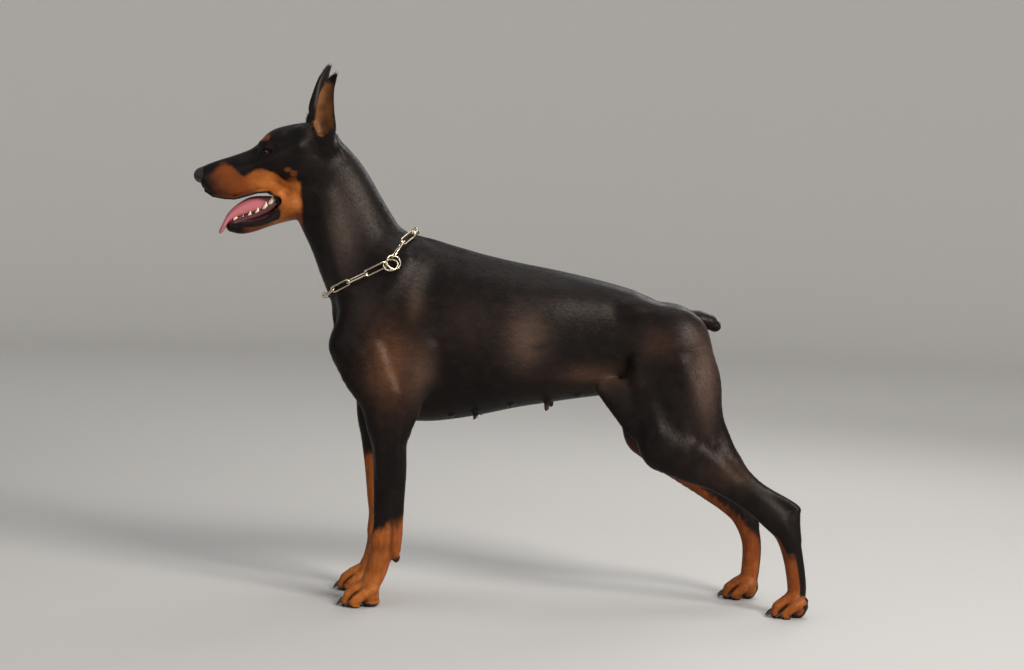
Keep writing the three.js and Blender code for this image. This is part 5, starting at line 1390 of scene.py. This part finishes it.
def coat_material(name, roughness, sheen):
    """The skin under the tufts, with fine streaks in shade and relief that run with the hair."""
    material, nodes, links, shader, colour = coloured_material(name, roughness, sheen)
    place = add_node(nodes, "ShaderNodeTexCoord").outputs["Object"]
    total = None
    for i, turn in enumerate(STREAKS):
        streak = stretched_noise(nodes, links, place, turn)
        weight = add_node(nodes, "ShaderNodeAttribute", attribute_name=f"lie_{i}")
        part = add_node(nodes, "ShaderNodeMath", operation="MULTIPLY")
        links.new(streak, part.inputs[0])
        links.new(weight.outputs["Fac"], part.inputs[1])
        if total is None:
            total = part.outputs[0]
        else:
            both = add_node(nodes, "ShaderNodeMath", operation="ADD")
            links.new(total, both.inputs[0])
            links.new(part.outputs[0], both.inputs[1])
            total = both.outputs[0]
    spread = {"From Min": 0.3, "From Max": 0.7, "To Min": 0.82, "To Max": 1.18}
    shade = add_node(nodes, "ShaderNodeMapRange", spread)
    links.new(total, shade.inputs["Value"])
    tinted = add_node(nodes, "ShaderNodeVectorMath", operation="SCALE")
    links.new(colour, tinted.inputs[0])
    links.new(shade.outputs["Result"], tinted.inputs["Scale"])
    links.new(tinted.outputs["Vector"], shader.inputs["Base Color"])
    bump = add_node(nodes, "ShaderNodeBump", {"Strength": 0.15, "Distance": 0.0005})
    links.new(total, bump.inputs["Height"])
    links.new(bump.outputs["Normal"], shader.inputs["Normal"])
    return material


def plain_material(name, colour, roughness, **values):
    material, _, _, shader = new_material(name)
    set_inputs(shader, Base_Color=(*colour, 1), Roughness=roughness, **values)
    return material


def textured_material(name, colour, other, roughness, size, bump_depth, pebbles=False, **values):
    """Two colours mixed by noise, with a bump of pebbles or of noise."""
    material, nodes, links, shader = new_material(name)
    place = add_node(nodes, "ShaderNodeTexCoord").outputs["Object"]
    texture = add_node(nodes, "ShaderNodeTexNoise", {"Scale": 1 / size, "Detail": 4.0})
    links.new(place, texture.inputs["Vector"])
    ramp = add_node(nodes, "ShaderNodeMix", data_type="RGBA")
    links.new(texture.outputs["Fac"], ramp.inputs["Factor"])
    ramp.inputs["A"].default_value, ramp.inputs["B"].default_value = (*colour, 1), (*other, 1)
    links.new(ramp.outputs["Result"], shader.inputs["Base Color"])
    height = texture.outputs["Fac"]
    if pebbles:
        cells = add_node(nodes, "ShaderNodeTexVoronoi", {"Scale": 1 / size})
        links.new(place, cells.inputs["Vector"])
        flip = add_node(nodes, "ShaderNodeMath", {1: -1.0}, operation="MULTIPLY")
        links.new(cells.outputs["Distance"], flip.inputs[0])
        height = flip.outputs[0]
    bump = add_node(nodes, "ShaderNodeBump", {"Strength": 0.8, "Distance": bump_depth})
    links.new(height, bump.inputs["Height"])
    links.new(bump.outputs["Normal"], shader.inputs["Normal"])
    set_inputs(shader, Roughness=roughness, **values)
    return material


# The skin

def in_mouth(points):
    x, y, z = points.T
    near = (x > -700) & (x < -500) & (z > 640) & (z < 780)
    inside = np.zeros(len(points), dtype=bool)
    inside[near] = mouth_field.distance(points[near]) < 1.6
    lip = np.array(sorted(LOWER_LIP[1:]))
    within_lip = (np.abs(y) < read_table(lip, x) - 1.5) & (z < 730) & (z > read_table(lip, x, 2))
    return inside | (near & (x > -630) & (x < -524) & within_lip)


NOSE_PAD = ([206, 0, -37], [18, 24, 17.5])  # centre and half sizes, in the head's frame


def on_nose(points):
    local = to_head(points)
    centre, radii = NOSE_PAD
    return (np.linalg.norm((local - centre) / radii, axis=1) < 1) & (local[:, 2] > -54)


def past_neck(points):
    """How far places lie behind the plane at the base of the neck, which leans with the neck."""
    return (points[:, 0] + 366) * 0.68 - (points[:, 2] - 600) * 0.73


def lie_of(points, normals):
    """The way in which the hair lies, along the skin."""
    x, y, z = points.T
    u, _, v = to_head(points).T
    on_face = smooth(-30, 10, u) * (z > 650)
    backwards = [math.cos(radians(HEAD_PITCH)), 0, math.sin(radians(HEAD_PITCH))]
    # Each way holds by its share in place of what comes before it: neck, chest, thigh, legs, feet, head, jowl
    ways = [
        ([0.5, 0, -0.85], smooth(40, -40, past_neck(points) + 20)),
        ([0.15, 0, -1], smooth(-380, -410, x) * smooth(640, 580, z)),
        ([0.35, 0, -1], smooth(130, 190, x) * smooth(480, 430, z)),
        ([0.1, 0, -1], smooth(400, 320, z) * ((x < -230) | (x > 60))),
        ([-0.85, 0, -0.5], smooth(60, 34, z)),
        (backwards, on_face),
        ([0.5, 0, -0.9], smooth(-70, -110, v) * smooth(110, 60, u) * on_face),
    ]
    for side in SIDES.values():
        base, tip, _ = ear_frame(side)
        way = unit(tip - base)
        ways.append((way, smooth(16, 34, (points - base) @ way) * (y * side > 5) * (x > -505) * (z > 850)))
    lie = np.tile([1, 0, -0.3], (len(points), 1))
    for way, share in ways:
        lie = painted(lie, way, share)
    return unit(lie - (lie * normals).sum(axis=1)[:, None] * normals)


verts, faces = whole_skin()
normals = unit(in_chunks(skin_slope, verts))
lie = lie_of(verts, normals)
colours = coat_colours(verts, normals)

angle = np.arctan2(lie[:, 2], lie[:, 0])
weights = np.stack([np.maximum(np.cos(2 * (angle - radians(turn))), 0) for turn in STREAKS], axis=1)
weights = weights / weights.sum(axis=1, keepdims=True)
hair = coat_material("Coat", 0.43, 0.02)
leather = textured_material(
    "Nose leather", (0.010, 0.009, 0.009), (0.022, 0.017, 0.016), 0.33, 0.0013, 0.0005, pebbles=True)
lining = textured_material("Mouth lining", (0.14, 0.030, 0.034), (0.045, 0.014, 0.018), 0.42, 0.006, 0.0004)

middle = verts[faces].mean(axis=1)
face_normal = unit(np.cross(verts[faces[:, 1]] - verts[faces[:, 0]], verts[faces[:, 2]] - verts[faces[:, 0]]))
mouth_face = in_mouth(middle)
nose_face = on_nose(middle) & ~mouth_face
rust_face = rust_share(middle, face_normal) > 0.5
front_face = past_neck(middle) < 0
coat_face = ~mouth_face & ~nose_face
HEAD_NODES = ["head", "jaw_lower", "ear_left", "ear_right", "neck"]
LEG_NODES = [f"{leg}_{side}" for leg in ("foreleg", "hindleg", "forepaw", "hindpaw") for side in SIDES]
skin_parts = [
    ("skin_head_black", coat_face & front_face & ~rust_face, hair, "coat_black", HEAD_NODES),
    ("skin_head_rust", coat_face & front_face & rust_face, hair, "coat_rust", []),
    ("skin_body_black", coat_face & ~front_face & ~rust_face, hair, "coat_black", ["torso", "tail"]),
    ("skin_body_rust", coat_face & ~front_face & rust_face, hair, "coat_rust", LEG_NODES),
    ("nose_leather", nose_face, leather, "nose_leather", ["nose"]),
    ("mouth_lining", mouth_face, lining, "tongue", []),
]
for name, keep, material, slot, nodes in skin_parts:
    used, part_faces = face_part(verts, faces, keep)
    uvs = unwrap(verts[faces[keep]].reshape(-1, 3), np.repeat(face_normal[keep], 3, axis=0))
    values = {f"lie_{i}": weights[used, i] for i in range(len(STREAKS))}
    piece = make_mesh(name, verts[used], part_faces, normals[used], colours[used], uvs, values)
    finish_piece(piece, material, nodes)

# The coat: thin short blades that lie along the skin and break its form a little

TUFTS = 330000
TUFTS_IN_PIECE = 60000
HAIR_LENGTHS = (9.0, 6.0, 3.2)  # on the body, on the legs, on face and feet
HAIR_WIDTHS = (0.6, 0.5, 0.36)
BLADE_UV = np.array([[-1, -1], [1, -1], [1, 0], [-1, 0], [0, 1]]) * 0.0015  # round the root's place
BLADE_FACES = np.array([[0, 2, 1], [0, 3, 2], [3, 4, 2]])
BLADE_SHADES = [0.9, 0.9, 1.0, 1.0, 1.1]  # from the root to the tip
rng = np.random.default_rng(RANDOM_SEED)


def hair_sizes(points):
    """Length and width of the hair, in millimetres."""
    u, _, v = to_head(points).T
    face = smooth(0, 50, u) * (points[:, 2] > 650)
    ear = (v > 8) * (u > -60) * (u < 60) * (points[:, 2] > 850)
    low = smooth(340, 240, points[:, 2])
    foot = smooth(80, 50, points[:, 2])
    short = np.maximum(np.maximum(face, foot), ear)
    return [mix(mix(body, leg, low), least, short) for body, leg, least in (HAIR_LENGTHS, HAIR_WIDTHS)]


def pick_roots():
    """The triangles that tufts grow on, as their corners, and where in each its tuft stands."""
    grown = coat_face & (middle[:, 2] > 2)
    grown &= (middle[:, 2] >= 8) | (face_normal[:, 2] >= -0.3)  # pads are bare
    chosen, centre = faces[grown], middle[grown]
    long, wide = hair_sizes(centre)
    for side in SIDES.values():
        bare = np.linalg.norm(centre - eye_centre(side), axis=1) < EYE_RADIUS + 3.2
        for teat in TEATS:
            bare |= np.linalg.norm(centre - teat_place(side, teat), axis=1) < teat[4] * 1.7
        long = np.where(bare, 0.0, long)
    a, b, c = (verts[chosen[:, i]] for i in range(3))
    area = np.linalg.norm(np.cross(b - a, c - a), axis=1) / 2
    ends = np.cumsum(area / np.maximum(long * wide, 0.1) ** 0.75 * (long > 0))
    pick = np.searchsorted(ends, (np.arange(TUFTS) + rng.random(TUFTS)) / TUFTS * ends[-1])
    s, t = rng.random(TUFTS), rng.random(TUFTS)
    flip = s + t > 1
    s[flip], t[flip] = 1 - s[flip], 1 - t[flip]
    shares = np.stack([1 - s - t, s, t], axis=1)[:, :, None]
    return chosen[np.minimum(pick, len(chosen) - 1)], shares


def skin_bend(corner, way):
    """How fast the skin turns away along each tuft, from the normals at its triangle's corners."""
    start = corner[:, :1]
    e1, e2 = (verts[corner[:, 1:]] - verts[start]).transpose(1, 0, 2)
    n1, n2 = (normals[corner[:, 1:]] - normals[start]).transpose(1, 0, 2)
    g11, g12, g22 = (e1 * e1).sum(1), (e1 * e2).sum(1), (e2 * e2).sum(1)
    w1, w2 = (way * e1).sum(1), (way * e2).sum(1)
    det = np.maximum(g11 * g22 - g12 ** 2, 1e-6)
    f, g = (w1 * g22 - w2 * g12) / det, (w2 * g11 - w1 * g12) / det
    return np.clip((way * (f[:, None] * n1 + g[:, None] * n2)).sum(1), -0.08, 0.08)


def make_coat():
    corner, shares = pick_roots()
    root = (verts[corner] * shares).sum(axis=1)
    normal = unit((normals[corner] * shares).sum(axis=1))
    way = unit((lie[corner] * shares).sum(axis=1))
    long, wide = hair_sizes(root)
    long = long * rng.uniform(0.7, 1.2, TUFTS)
    wide = wide * rng.uniform(0.75, 1.2, TUFTS)
    swing = (rng.normal(0, 0.13, TUFTS) + 0.12 * noise(root, 22, 31))[:, None]
    way = unit(way * np.cos(swing) + np.cross(normal, way) * np.sin(swing))
    other = np.cross(normal, way)
    bend = skin_bend(corner, way)
    lift = rng.uniform(0.3, 1.0, TUFTS) ** 2 * np.minimum(COAT_DEPTH * 0.8, 0.1 * long)

    def at(share, height):
        drop = bend * (long * share) ** 2 / 2
        return root + way * (long * share)[:, None] + normal * (height - drop)[:, None]

    half = (wide / 2)[:, None] * other
    start, mid, tip = at(0, -0.3), at(0.5, lift * 0.6), at(1.0, lift)
    blades = np.stack([start - half, start + half, mid + half * 0.9, mid - half * 0.9, tip], axis=1)
    lean = normal + 0.08 * rng.normal(0, 1, (TUFTS, 1)) * other + 0.05 * rng.normal(0, 1, (TUFTS, 1)) * way
    colour = coat_colours(root + 0.8 * rng.normal(0, 1, (TUFTS, 1)) * way, normal)
    colour = colour * rng.uniform(0.82, 1.2, (TUFTS, 1))
    is_rust = rust_share(root, normal) > 0.5
    spread = {"blades": blades, "lean": unit(lean), "colour": colour, "uv": unwrap(root, normal)}
    for kind, chosen in (("black", ~is_rust), ("rust", is_rust)):
        ids = np.nonzero(chosen)[0]
        for number, part in enumerate(np.array_split(ids, math.ceil(len(ids) / TUFTS_IN_PIECE))):
            tuft_piece(f"coat_{kind}", number + 1, **{key: value[part] for key, value in spread.items()})


def tuft_piece(slot, number, blades, lean, colour, uv):
    """One piece of the coat: five vertices and three triangles for each tuft."""
    count = len(blades)
    piece_faces = (BLADE_FACES[None] + 5 * np.arange(count)[:, None, None]).reshape(-1, 3)
    piece_uv = (uv[:, None] + BLADE_UV[None])[:, BLADE_FACES.ravel()].reshape(-1, 2)
    colours = np.repeat(colour, 5, axis=0) * np.tile(BLADE_SHADES, count)[:, None]
    piece = make_mesh(f"{slot}_{number:02d}", blades.reshape(-1, 3), piece_faces,
                      np.repeat(lean, 5, axis=0), colours, piece_uv)
    finish_piece(piece, coat_hair[slot])


coat_hair = {
    "coat_black": coloured_material("Black hair", 0.42, 0.02)[0],
    "coat_rust": coloured_material("Rust hair", 0.5, 0.02)[0],
}
make_coat()

# Eyes

EYE_RINGS, EYE_SIDES = 65, 96
CORNEA_BULGE = 0.7
PUPIL_EDGE, IRIS_EDGE = (13, 15), (38, 42)  # in degrees from the middle of the gaze
IRIS_RIM = ((33, 38), (40, 46))  # where a dark rim sets in and ends
IRIS_DARK, IRIS_PALE = np.array([0.030, 0.011, 0.004]), np.array([0.052, 0.021, 0.008])
IRIS_RIM_COLOUR = np.array([0.012, 0.006, 0.004])
EYE_WHITE = np.array([0.035, 0.024, 0.02])
PUPIL = np.array([0.002, 0.002, 0.002])


def make_eye(side_name, side):
    """An eyeball with a pupil, a dark brown iris and a low cornea, looking forward and aside."""
    down = np.linspace(0, np.pi, EYE_RINGS)
    round_ = np.linspace(0, 2 * np.pi, EYE_SIDES, endpoint=False)
    d, r = np.meshgrid(down, round_, indexing="ij")
    local = np.stack([np.sin(d) * np.cos(r), np.sin(d) * np.sin(r), np.cos(d)], axis=-1).reshape(-1, 3)
    d, r = d.ravel(), r.ravel()
    bulge = CORNEA_BULGE * (1 - smooth(radians(14), radians(44), d))
    gaze = unit(np.array(on_head(0.62, side * 0.78, -0.04)) - on_head(0, 0, 0))
    up = unit(np.cross(gaze, [0, 1, 0]))
    turn = np.stack([up, np.cross(up, gaze), gaze])
    place = eye_centre(side) + (EYE_RADIUS - 0.5 + bulge)[:, None] * (local @ turn)
    angle = np.degrees(d)
    ray = 0.5 + 0.5 * np.sin(r * 31 + 3 * np.sin(r * 7))
    colour = painted(painted(IRIS_DARK, IRIS_PALE, ray), EYE_WHITE, smooth(*IRIS_EDGE, angle))
    rim_start, rim_end = IRIS_RIM
    colour = painted(colour, IRIS_RIM_COLOUR, smooth(*rim_start, angle) * (1 - smooth(*rim_end, angle)))
    colour = painted(PUPIL, colour, smooth(*PUPIL_EDGE, angle))
    outwards = ring_faces(EYE_RINGS, EYE_SIDES)[:, ::-1]
    piece = make_mesh(f"eyeball_{side_name}", place, outwards, colours=colour)
    finish_piece(piece, eye_material, [f"eye_{side_name}"])


eye_material, _, _, eye_shader, _ = coloured_material("Eye", 0.22, 0.0)
set_inputs(eye_shader, Coat_Weight=1.0, Coat_Roughness=0.02, Coat_IOR=1.4)
for side_name, side in SIDES.items():
    make_eye(side_name, side)

# Tongue

TONGUE_SIDES = 48
GROOVE_DEPTH, GROOVE_WIDTH = 0.9, 0.16  # the width as a share of half the tongue
EDGE_LIFT = 1.6


def make_tongue():
    """Flat ovals along the tongue, with a groove down the middle and edges that curl up."""
    fine = refine(TONGUE, 6)
    along = unit(np.gradient(fine[:, :3], axis=0))
    turn = 2 * np.pi * np.arange(TONGUE_SIDES) / TONGUE_SIDES
    cos, sin = np.cos(turn), np.sin(turn)
    groove = GROOVE_DEPTH * np.exp(-(cos / GROOVE_WIDTH) ** 2) * (sin > 0)
    rings = []
    for place, way, (deep, wide) in zip(fine[:, :3], along, fine[:, 3:5]):
        up = np.cross(way, [0, 1, 0])
        height = deep * np.sign(sin) * np.abs(sin) ** 0.8 - groove + EDGE_LIFT * cos ** 2
        rings.append(place + wide * cos[:, None] * [0, 1, 0] + height[:, None] * up)
    ends = [fine[0, :3], fine[-1, :3] + along[-1] * 2.4]
    tongue = capped(np.concatenate(rings), ring_faces(len(rings), TONGUE_SIDES), TONGUE_SIDES, ends)
    finish_piece(make_mesh("tongue_soft", *tongue), tongue_material, ["tongue"])


tongue_material = textured_material("Tongue", (0.55, 0.16, 0.17), (0.42, 0.12, 0.15), 0.32, 0.0012, 0.0003,
                                    Subsurface_Weight=0.25, Subsurface_Scale=0.004)
make_tongue()

# Teeth and claws

# Place on the gum of the right side, height and half width
LOWER_TEETH = [
    [-626, 2.5, 689, 6, 2.2],
    [-624, 7, 689, 7, 2.4],
    [-617, 12, 691, 16, 4],
    [-603, 15.5, 695, 5, 2.4],
    [-590, 18, 699, 8.5, 3.8],
    [-576, 20, 704, 10, 4.4],
    [-561, 22.5, 714, 11, 5],
    [-549, 24.5, 724, 12, 6],
]
TOOTH_ROOT = 4  # how deep a tooth stands in the gum
TOOTH_SHARES = np.array([0, 0.15, 0.35, 0.58, 0.8, 0.94, 1])  # of the height
TOOTH_RADII = np.array([0.9, 1, 0.9, 0.66, 0.38, 0.17, 0.05])
CLAW_SHARES = np.array([0, 0.2, 0.45, 0.7, 0.88, 1])  # of the length
CLAW_RADII = [3.6, 3.9, 3.4, 2.5, 1.5, 0.5]
CLAW_LENGTH = 12.5
CLAW_ROOT = 3  # how far a claw reaches back into the toe
CLAW_TIP = 2.6  # its height above the floor


def tooth(x, y, z, height, half, side):
    """A tapered cusp, with a smaller one before and behind it on the cheek teeth."""
    is_fang = height > 15
    back = 2.2 * TOOTH_SHARES ** 2 * is_fang
    low = z - TOOTH_ROOT
    out = side * (y + 0.6 * TOOTH_SHARES)
    path = np.stack([x + TOOTH_SHARES + back, out, low + (height + TOOTH_ROOT) * TOOTH_SHARES], axis=1)
    parts = [tube(path, half * TOOTH_RADII, 16, flat=(1, 0.62))]
    if half > 3.5 and not is_fang:
        for shift in (-0.72, 0.72):
            cusp = path + [shift * half, 0, 0]
            cusp[:, 2] = low + (height * 0.5 + TOOTH_ROOT) * TOOTH_SHARES
            parts.append(tube(cusp, half * 0.5 * TOOTH_RADII, 12, flat=(1, 0.7)))
    return parts


def make_teeth():
    parts = []
    for side in SIDES.values():
        for row in LOWER_TEETH:
            parts += tooth(*row, side)
    finish_piece(make_mesh("teeth_lower", *join_meshes(parts)), tooth_material)


tooth_material = textured_material("Tooth", (0.78, 0.70, 0.55), (0.62, 0.50, 0.33), 0.22, 0.004, 0.0001,
                                   Subsurface_Weight=0.15, Subsurface_Scale=0.003)
make_teeth()


def make_claws(name, paw, sizes, forward, side):
    parts = []
    for reach, across, _ in sizes["toes"]:
        x = paw[0] - forward - reach - sizes["radius"] * 0.35
        y, z = paw[1] + side * across, sizes["radius"] * 1.25
        ahead = x + CLAW_ROOT - (CLAW_LENGTH + CLAW_ROOT) * CLAW_SHARES
        path = np.stack([ahead, np.full(6, y), z - (z - CLAW_TIP) * CLAW_SHARES ** 1.7], axis=1)
        parts.append(tube(path, CLAW_RADII, 14, flat=(0.75, 1)))
    finish_piece(make_mesh(name, *join_meshes(parts)), claw_material)


claw_material = textured_material("Claw", (0.016, 0.012, 0.010), (0.05, 0.035, 0.026), 0.3, 0.004, 0.0002)
for side_name, side in SIDES.items():
    forward = float(read_table(FORE_SHIFT, 0)) if side > 0 else 0
    make_claws(f"claws_fore_{side_name}", aside(side, FORE["paw"]), FORE_FOOT, forward, side)
    make_claws(f"claws_hind_{side_name}", aside(side, HIND[side_name]["paw"]), HIND_FOOT, 0, side)

# Collar

COLLAR_FRONT, COLLAR_TOP = np.array([-450.0, 0, 556]), np.array([-291.0, 0, 674])
COLLAR_LIFT = 5  # of the wire's middle off the skin
COLLAR_CLEAR = 1.2  # least gap between wire and skin
RING_SHARE = 0.42  # how far up the left side the two rings hang
RING_TURN = 0.115  # half the angle that the rings take up in the loop
RING_RADIUS = 13
RINGS = {
    "front": {"centre": [-328.9, -86.1, 618.9], "normal": [0.07, 0.72, -0.69]},
    "back": {"centre": [-324.1, -82.5, 623.8], "normal": [-0.35, 0.84, -0.42]},
}
SAG = [[-1, 0], [-0.7, 0.5], [-0.4, 5], [0, 11.5], [0.42, 15], [0.8, 3], [1, 0]]
LINK_ROLL = 45
LINK_PLAY = 1.8
BEND_STEPS = 10
LINE_STEPS = 400
RING_STEPS = 48


def collar_line(turns):
    """The loop's points at turns from the top, over the dog's left side, lifted off the skin."""
    rise = unit(COLLAR_TOP - COLLAR_FRONT)
    down = np.array([rise[2], 0, -rise[0]])
    heart = (COLLAR_FRONT + COLLAR_TOP) / 2 + down * read_table(SAG, np.cos(turns))[:, None]
    out = rise * np.cos(turns)[:, None] + np.array([0, -1, 0]) * np.sin(turns)[:, None]
    near, far = np.full(len(turns), 20.0), np.full(len(turns), 180.0)
    for _ in range(14):
        half = (near + far) / 2
        inside = dog.distance(heart + out * half[:, None]) < COLLAR_LIFT
        near, far = np.where(inside, half, near), np.where(inside, far, half)
    return heart + out * near[:, None]


def link_path(a, b, wide):
    """A long link round two joints, which spreads along the direction that wide gives."""
    along = b - a
    half_length = np.linalg.norm(along) / 2 + (WIRE + LINK_PLAY) / 2
    along = unit(along)
    bend = (LINK_WIDTH - WIRE) / 2
    turn = np.pi * (np.arange(BEND_STEPS + 1) / BEND_STEPS - 0.5)
    path = []
    for end in (1, -1):
        reach = end * (half_length - bend + bend * np.cos(turn))
        path.append((a + b) / 2 + reach[:, None] * along + (end * bend * np.sin(turn))[:, None] * wide)
    return np.concatenate(path)


def link_paths(joints):
    """All links, each square to the one before."""
    along = unit(joints[1] - joints[0])
    normal = unit(dog.slope(joints[:1], 0.5))[0]
    level = unit(np.cross(along, normal))
    wide = level * math.cos(radians(LINK_ROLL)) + np.cross(level, along) * math.sin(radians(LINK_ROLL))
    paths = []
    for i in range(len(joints) - 1):
        way = unit(joints[i + 1] - joints[i])
        if i > 0:
            wide = unit(np.cross(way, wide))
        paths.append(link_path(joints[i], joints[i + 1], wide))
    return paths


def chain_joints():
    """The places where links meet, spread along the loop and then lifted until no wire is in the skin."""
    ring_turn = math.acos(RING_SHARE)
    turns = np.linspace(ring_turn + RING_TURN, ring_turn + 2 * np.pi - RING_TURN, LINE_STEPS + 1)
    line = collar_line(turns)
    lengths = np.concatenate([[0], np.cumsum(np.linalg.norm(np.diff(line, axis=0), axis=1))])
    wanted = lengths[-1] * np.arange(LINK_COUNT + 1) / LINK_COUNT
    joints = line[np.minimum(np.searchsorted(lengths, wanted - 1e-6), LINE_STEPS)].copy()
    for _ in range(16):
        for i, path in enumerate(link_paths(joints)):
            short = WIRE / 2 + COLLAR_CLEAR - dog.distance(path).min()
            if short > 0:
                joints[i:i + 2] += unit(dog.slope(joints[i:i + 2], 0.5)) * short / 2
    return joints


def chain_piece(name, path, sides, node):
    wire = tube(path, np.full(len(path), WIRE / 2), sides, ring=True)
    finish_piece(make_mesh(name, *wire), steel, [node])


def make_collar():
    for i, path in enumerate(link_paths(chain_joints())):
        chain_piece(f"chain_{i + 1:02d}", path, 12, f"collar_link_{i + 1:02d}")
    turn = 2 * np.pi * np.arange(RING_STEPS)[:, None] / RING_STEPS
    for name, ring in RINGS.items():
        axis = unit(np.array(ring["normal"]))
        one = unit(np.cross(axis, [0, 0, 1]))
        other = np.cross(axis, one)
        path = np.array(ring["centre"]) + RING_RADIUS * (np.cos(turn) * one + np.sin(turn) * other)
        chain_piece(f"chain_ring_{name}", path, 14, f"collar_ring_{name}")


steel = plain_material("Chain steel", (0.66, 0.56, 0.40), 0.22, Metallic=1.0)
make_collar()

# Floor, light and camera

FLOOR_RADIUS = 5.6  # of the flat part, in metres
BEND_RADIUS = 2.0  # where the floor bends up into a wall on every side
WALL_HEIGHT = 5.5
STAGE_SIDES = 96
FLOOR_COLOUR = (0.42, 0.41, 0.395, 1)
WALL_COLOUR = (0.80, 0.785, 0.76, 1)
PALER_FROM, PALER_TO = 0.8, 4.5  # metres behind the dog


def floor_material():
    """Matt and plain, and paler towards the back, which gets less light."""
    material, nodes, links, shader = new_material("Floor")
    place = add_node(nodes, "ShaderNodeTexCoord").outputs["Object"]
    apart = add_node(nodes, "ShaderNodeSeparateXYZ")
    links.new(place, apart.inputs["Vector"])
    share = add_node(nodes, "ShaderNodeMapRange", {"From Min": PALER_FROM, "From Max": PALER_TO},
                     interpolation_type="SMOOTHSTEP")
    links.new(apart.outputs["Y"], share.inputs["Value"])
    blend = add_node(nodes, "ShaderNodeMix", data_type="RGBA")
    links.new(share.outputs["Result"], blend.inputs["Factor"])
    blend.inputs["A"].default_value, blend.inputs["B"].default_value = FLOOR_COLOUR, WALL_COLOUR
    links.new(blend.outputs["Result"], shader.inputs["Base Color"])
    set_inputs(shader, Roughness=0.8)
    return material


def make_stage():
    """A round floor that sweeps up on every side, so that it fills the picture from anywhere."""
    line = [(1.5, 0.0), (3.0, 0.0), (4.5, 0.0)]
    for turn in np.linspace(0, np.pi / 2, 16):
        line.append((FLOOR_RADIUS + BEND_RADIUS * math.sin(turn), BEND_RADIUS * (1 - math.cos(turn))))
    line.append((FLOOR_RADIUS + BEND_RADIUS, WALL_HEIGHT))
    turns = [2 * math.pi * i / STAGE_SIDES for i in range(STAGE_SIDES)]
    points = []
    for radius, height in line:
        points += [(radius * math.cos(turn), radius * math.sin(turn), height) for turn in turns]
    quads = []
    for row, i in itertools.product(range(len(line) - 1), range(STAGE_SIDES)):
        a, b = row * STAGE_SIDES + i, row * STAGE_SIDES + (i + 1) % STAGE_SIDES
        quads.append((a, a + STAGE_SIDES, b + STAGE_SIDES, b))
    mesh = bpy.data.meshes.new("floor")
    mesh.from_pydata(points, [], [*quads, tuple(range(STAGE_SIDES))])
    mesh.polygons.foreach_set("use_smooth", [True] * len(mesh.polygons))
    mesh.materials.append(floor_material())
    floor = bpy.data.objects.new("floor", mesh)
    bpy.context.collection.objects.link(floor)


def area_light(name, place, aim, size, watts, colour=(1, 1, 1)):
    data = bpy.data.lights.new(name, "AREA")
    data.shape, data.size, data.size_y = "RECTANGLE", size[0], size[1]
    data.energy, data.color = watts, colour
    lamp = bpy.data.objects.new(name, data)
    bpy.context.collection.objects.link(lamp)
    way = Vector(aim) - Vector(place)
    lamp.location = place
    lamp.rotation_euler = way.to_track_quat("-Z", "Y").to_euler()


def make_lights():
    area_light("key", (2.9, -3.4, 3.1), (-0.05, 0, 0.5), (1.7, 1.5), 330, (1, 0.96, 0.91))
    area_light("fill", (-2.6, -2.8, 1.5), (0, 0, 0.45), (2.4, 1.8), 26, (0.95, 0.97, 1))
    area_light("top", (0.1, 0.2, 3.3), (0, 0, 0.4), (2.6, 2.0), 45)
    area_light("rim", (1.2, 1.6, 1.9), (0, 0, 0.6), (1.4, 1.2), 25)
    world = bpy.data.worlds.new("World")
    world.use_nodes = True
    set_inputs(world.node_tree.nodes["Background"], Color=(0.85, 0.88, 0.92, 1), Strength=0.2)
    bpy.context.scene.world = world


CAMERA_PLACE = (-108.4, -4500.0, 838.5)  # in the measuring frame, in millimetres
CAMERA_PITCH = 4.4  # degrees down
CAMERA_ROLL = 1.45
CAMERA_LENS = 86.7


def make_camera():
    data = bpy.data.cameras.new("camera")
    data.lens = CAMERA_LENS
    data.sensor_width = 36
    data.clip_start, data.clip_end = 0.1, 50
    camera = bpy.data.objects.new("camera", data)
    bpy.context.collection.objects.link(camera)
    pitch, roll = radians(CAMERA_PITCH), radians(CAMERA_ROLL)
    ahead = np.array([0, math.cos(pitch), -math.sin(pitch)])
    right = np.array([1.0, 0, 0])
    up = np.cross(right, ahead)
    right, up = math.cos(roll) * right + math.sin(roll) * up, -math.sin(roll) * right + math.cos(roll) * up
    matrix = np.eye(4)
    matrix[:3, 0], matrix[:3, 1], matrix[:3, 2] = right, up, -ahead
    matrix[:3, 3] = to_frame(np.array(CAMERA_PLACE))
    camera.matrix_world = Matrix(matrix.tolist())
    bpy.context.scene.camera = camera


make_stage()
make_lights()
make_camera()
bpy.context.scene.view_settings.view_transform = "Standard"
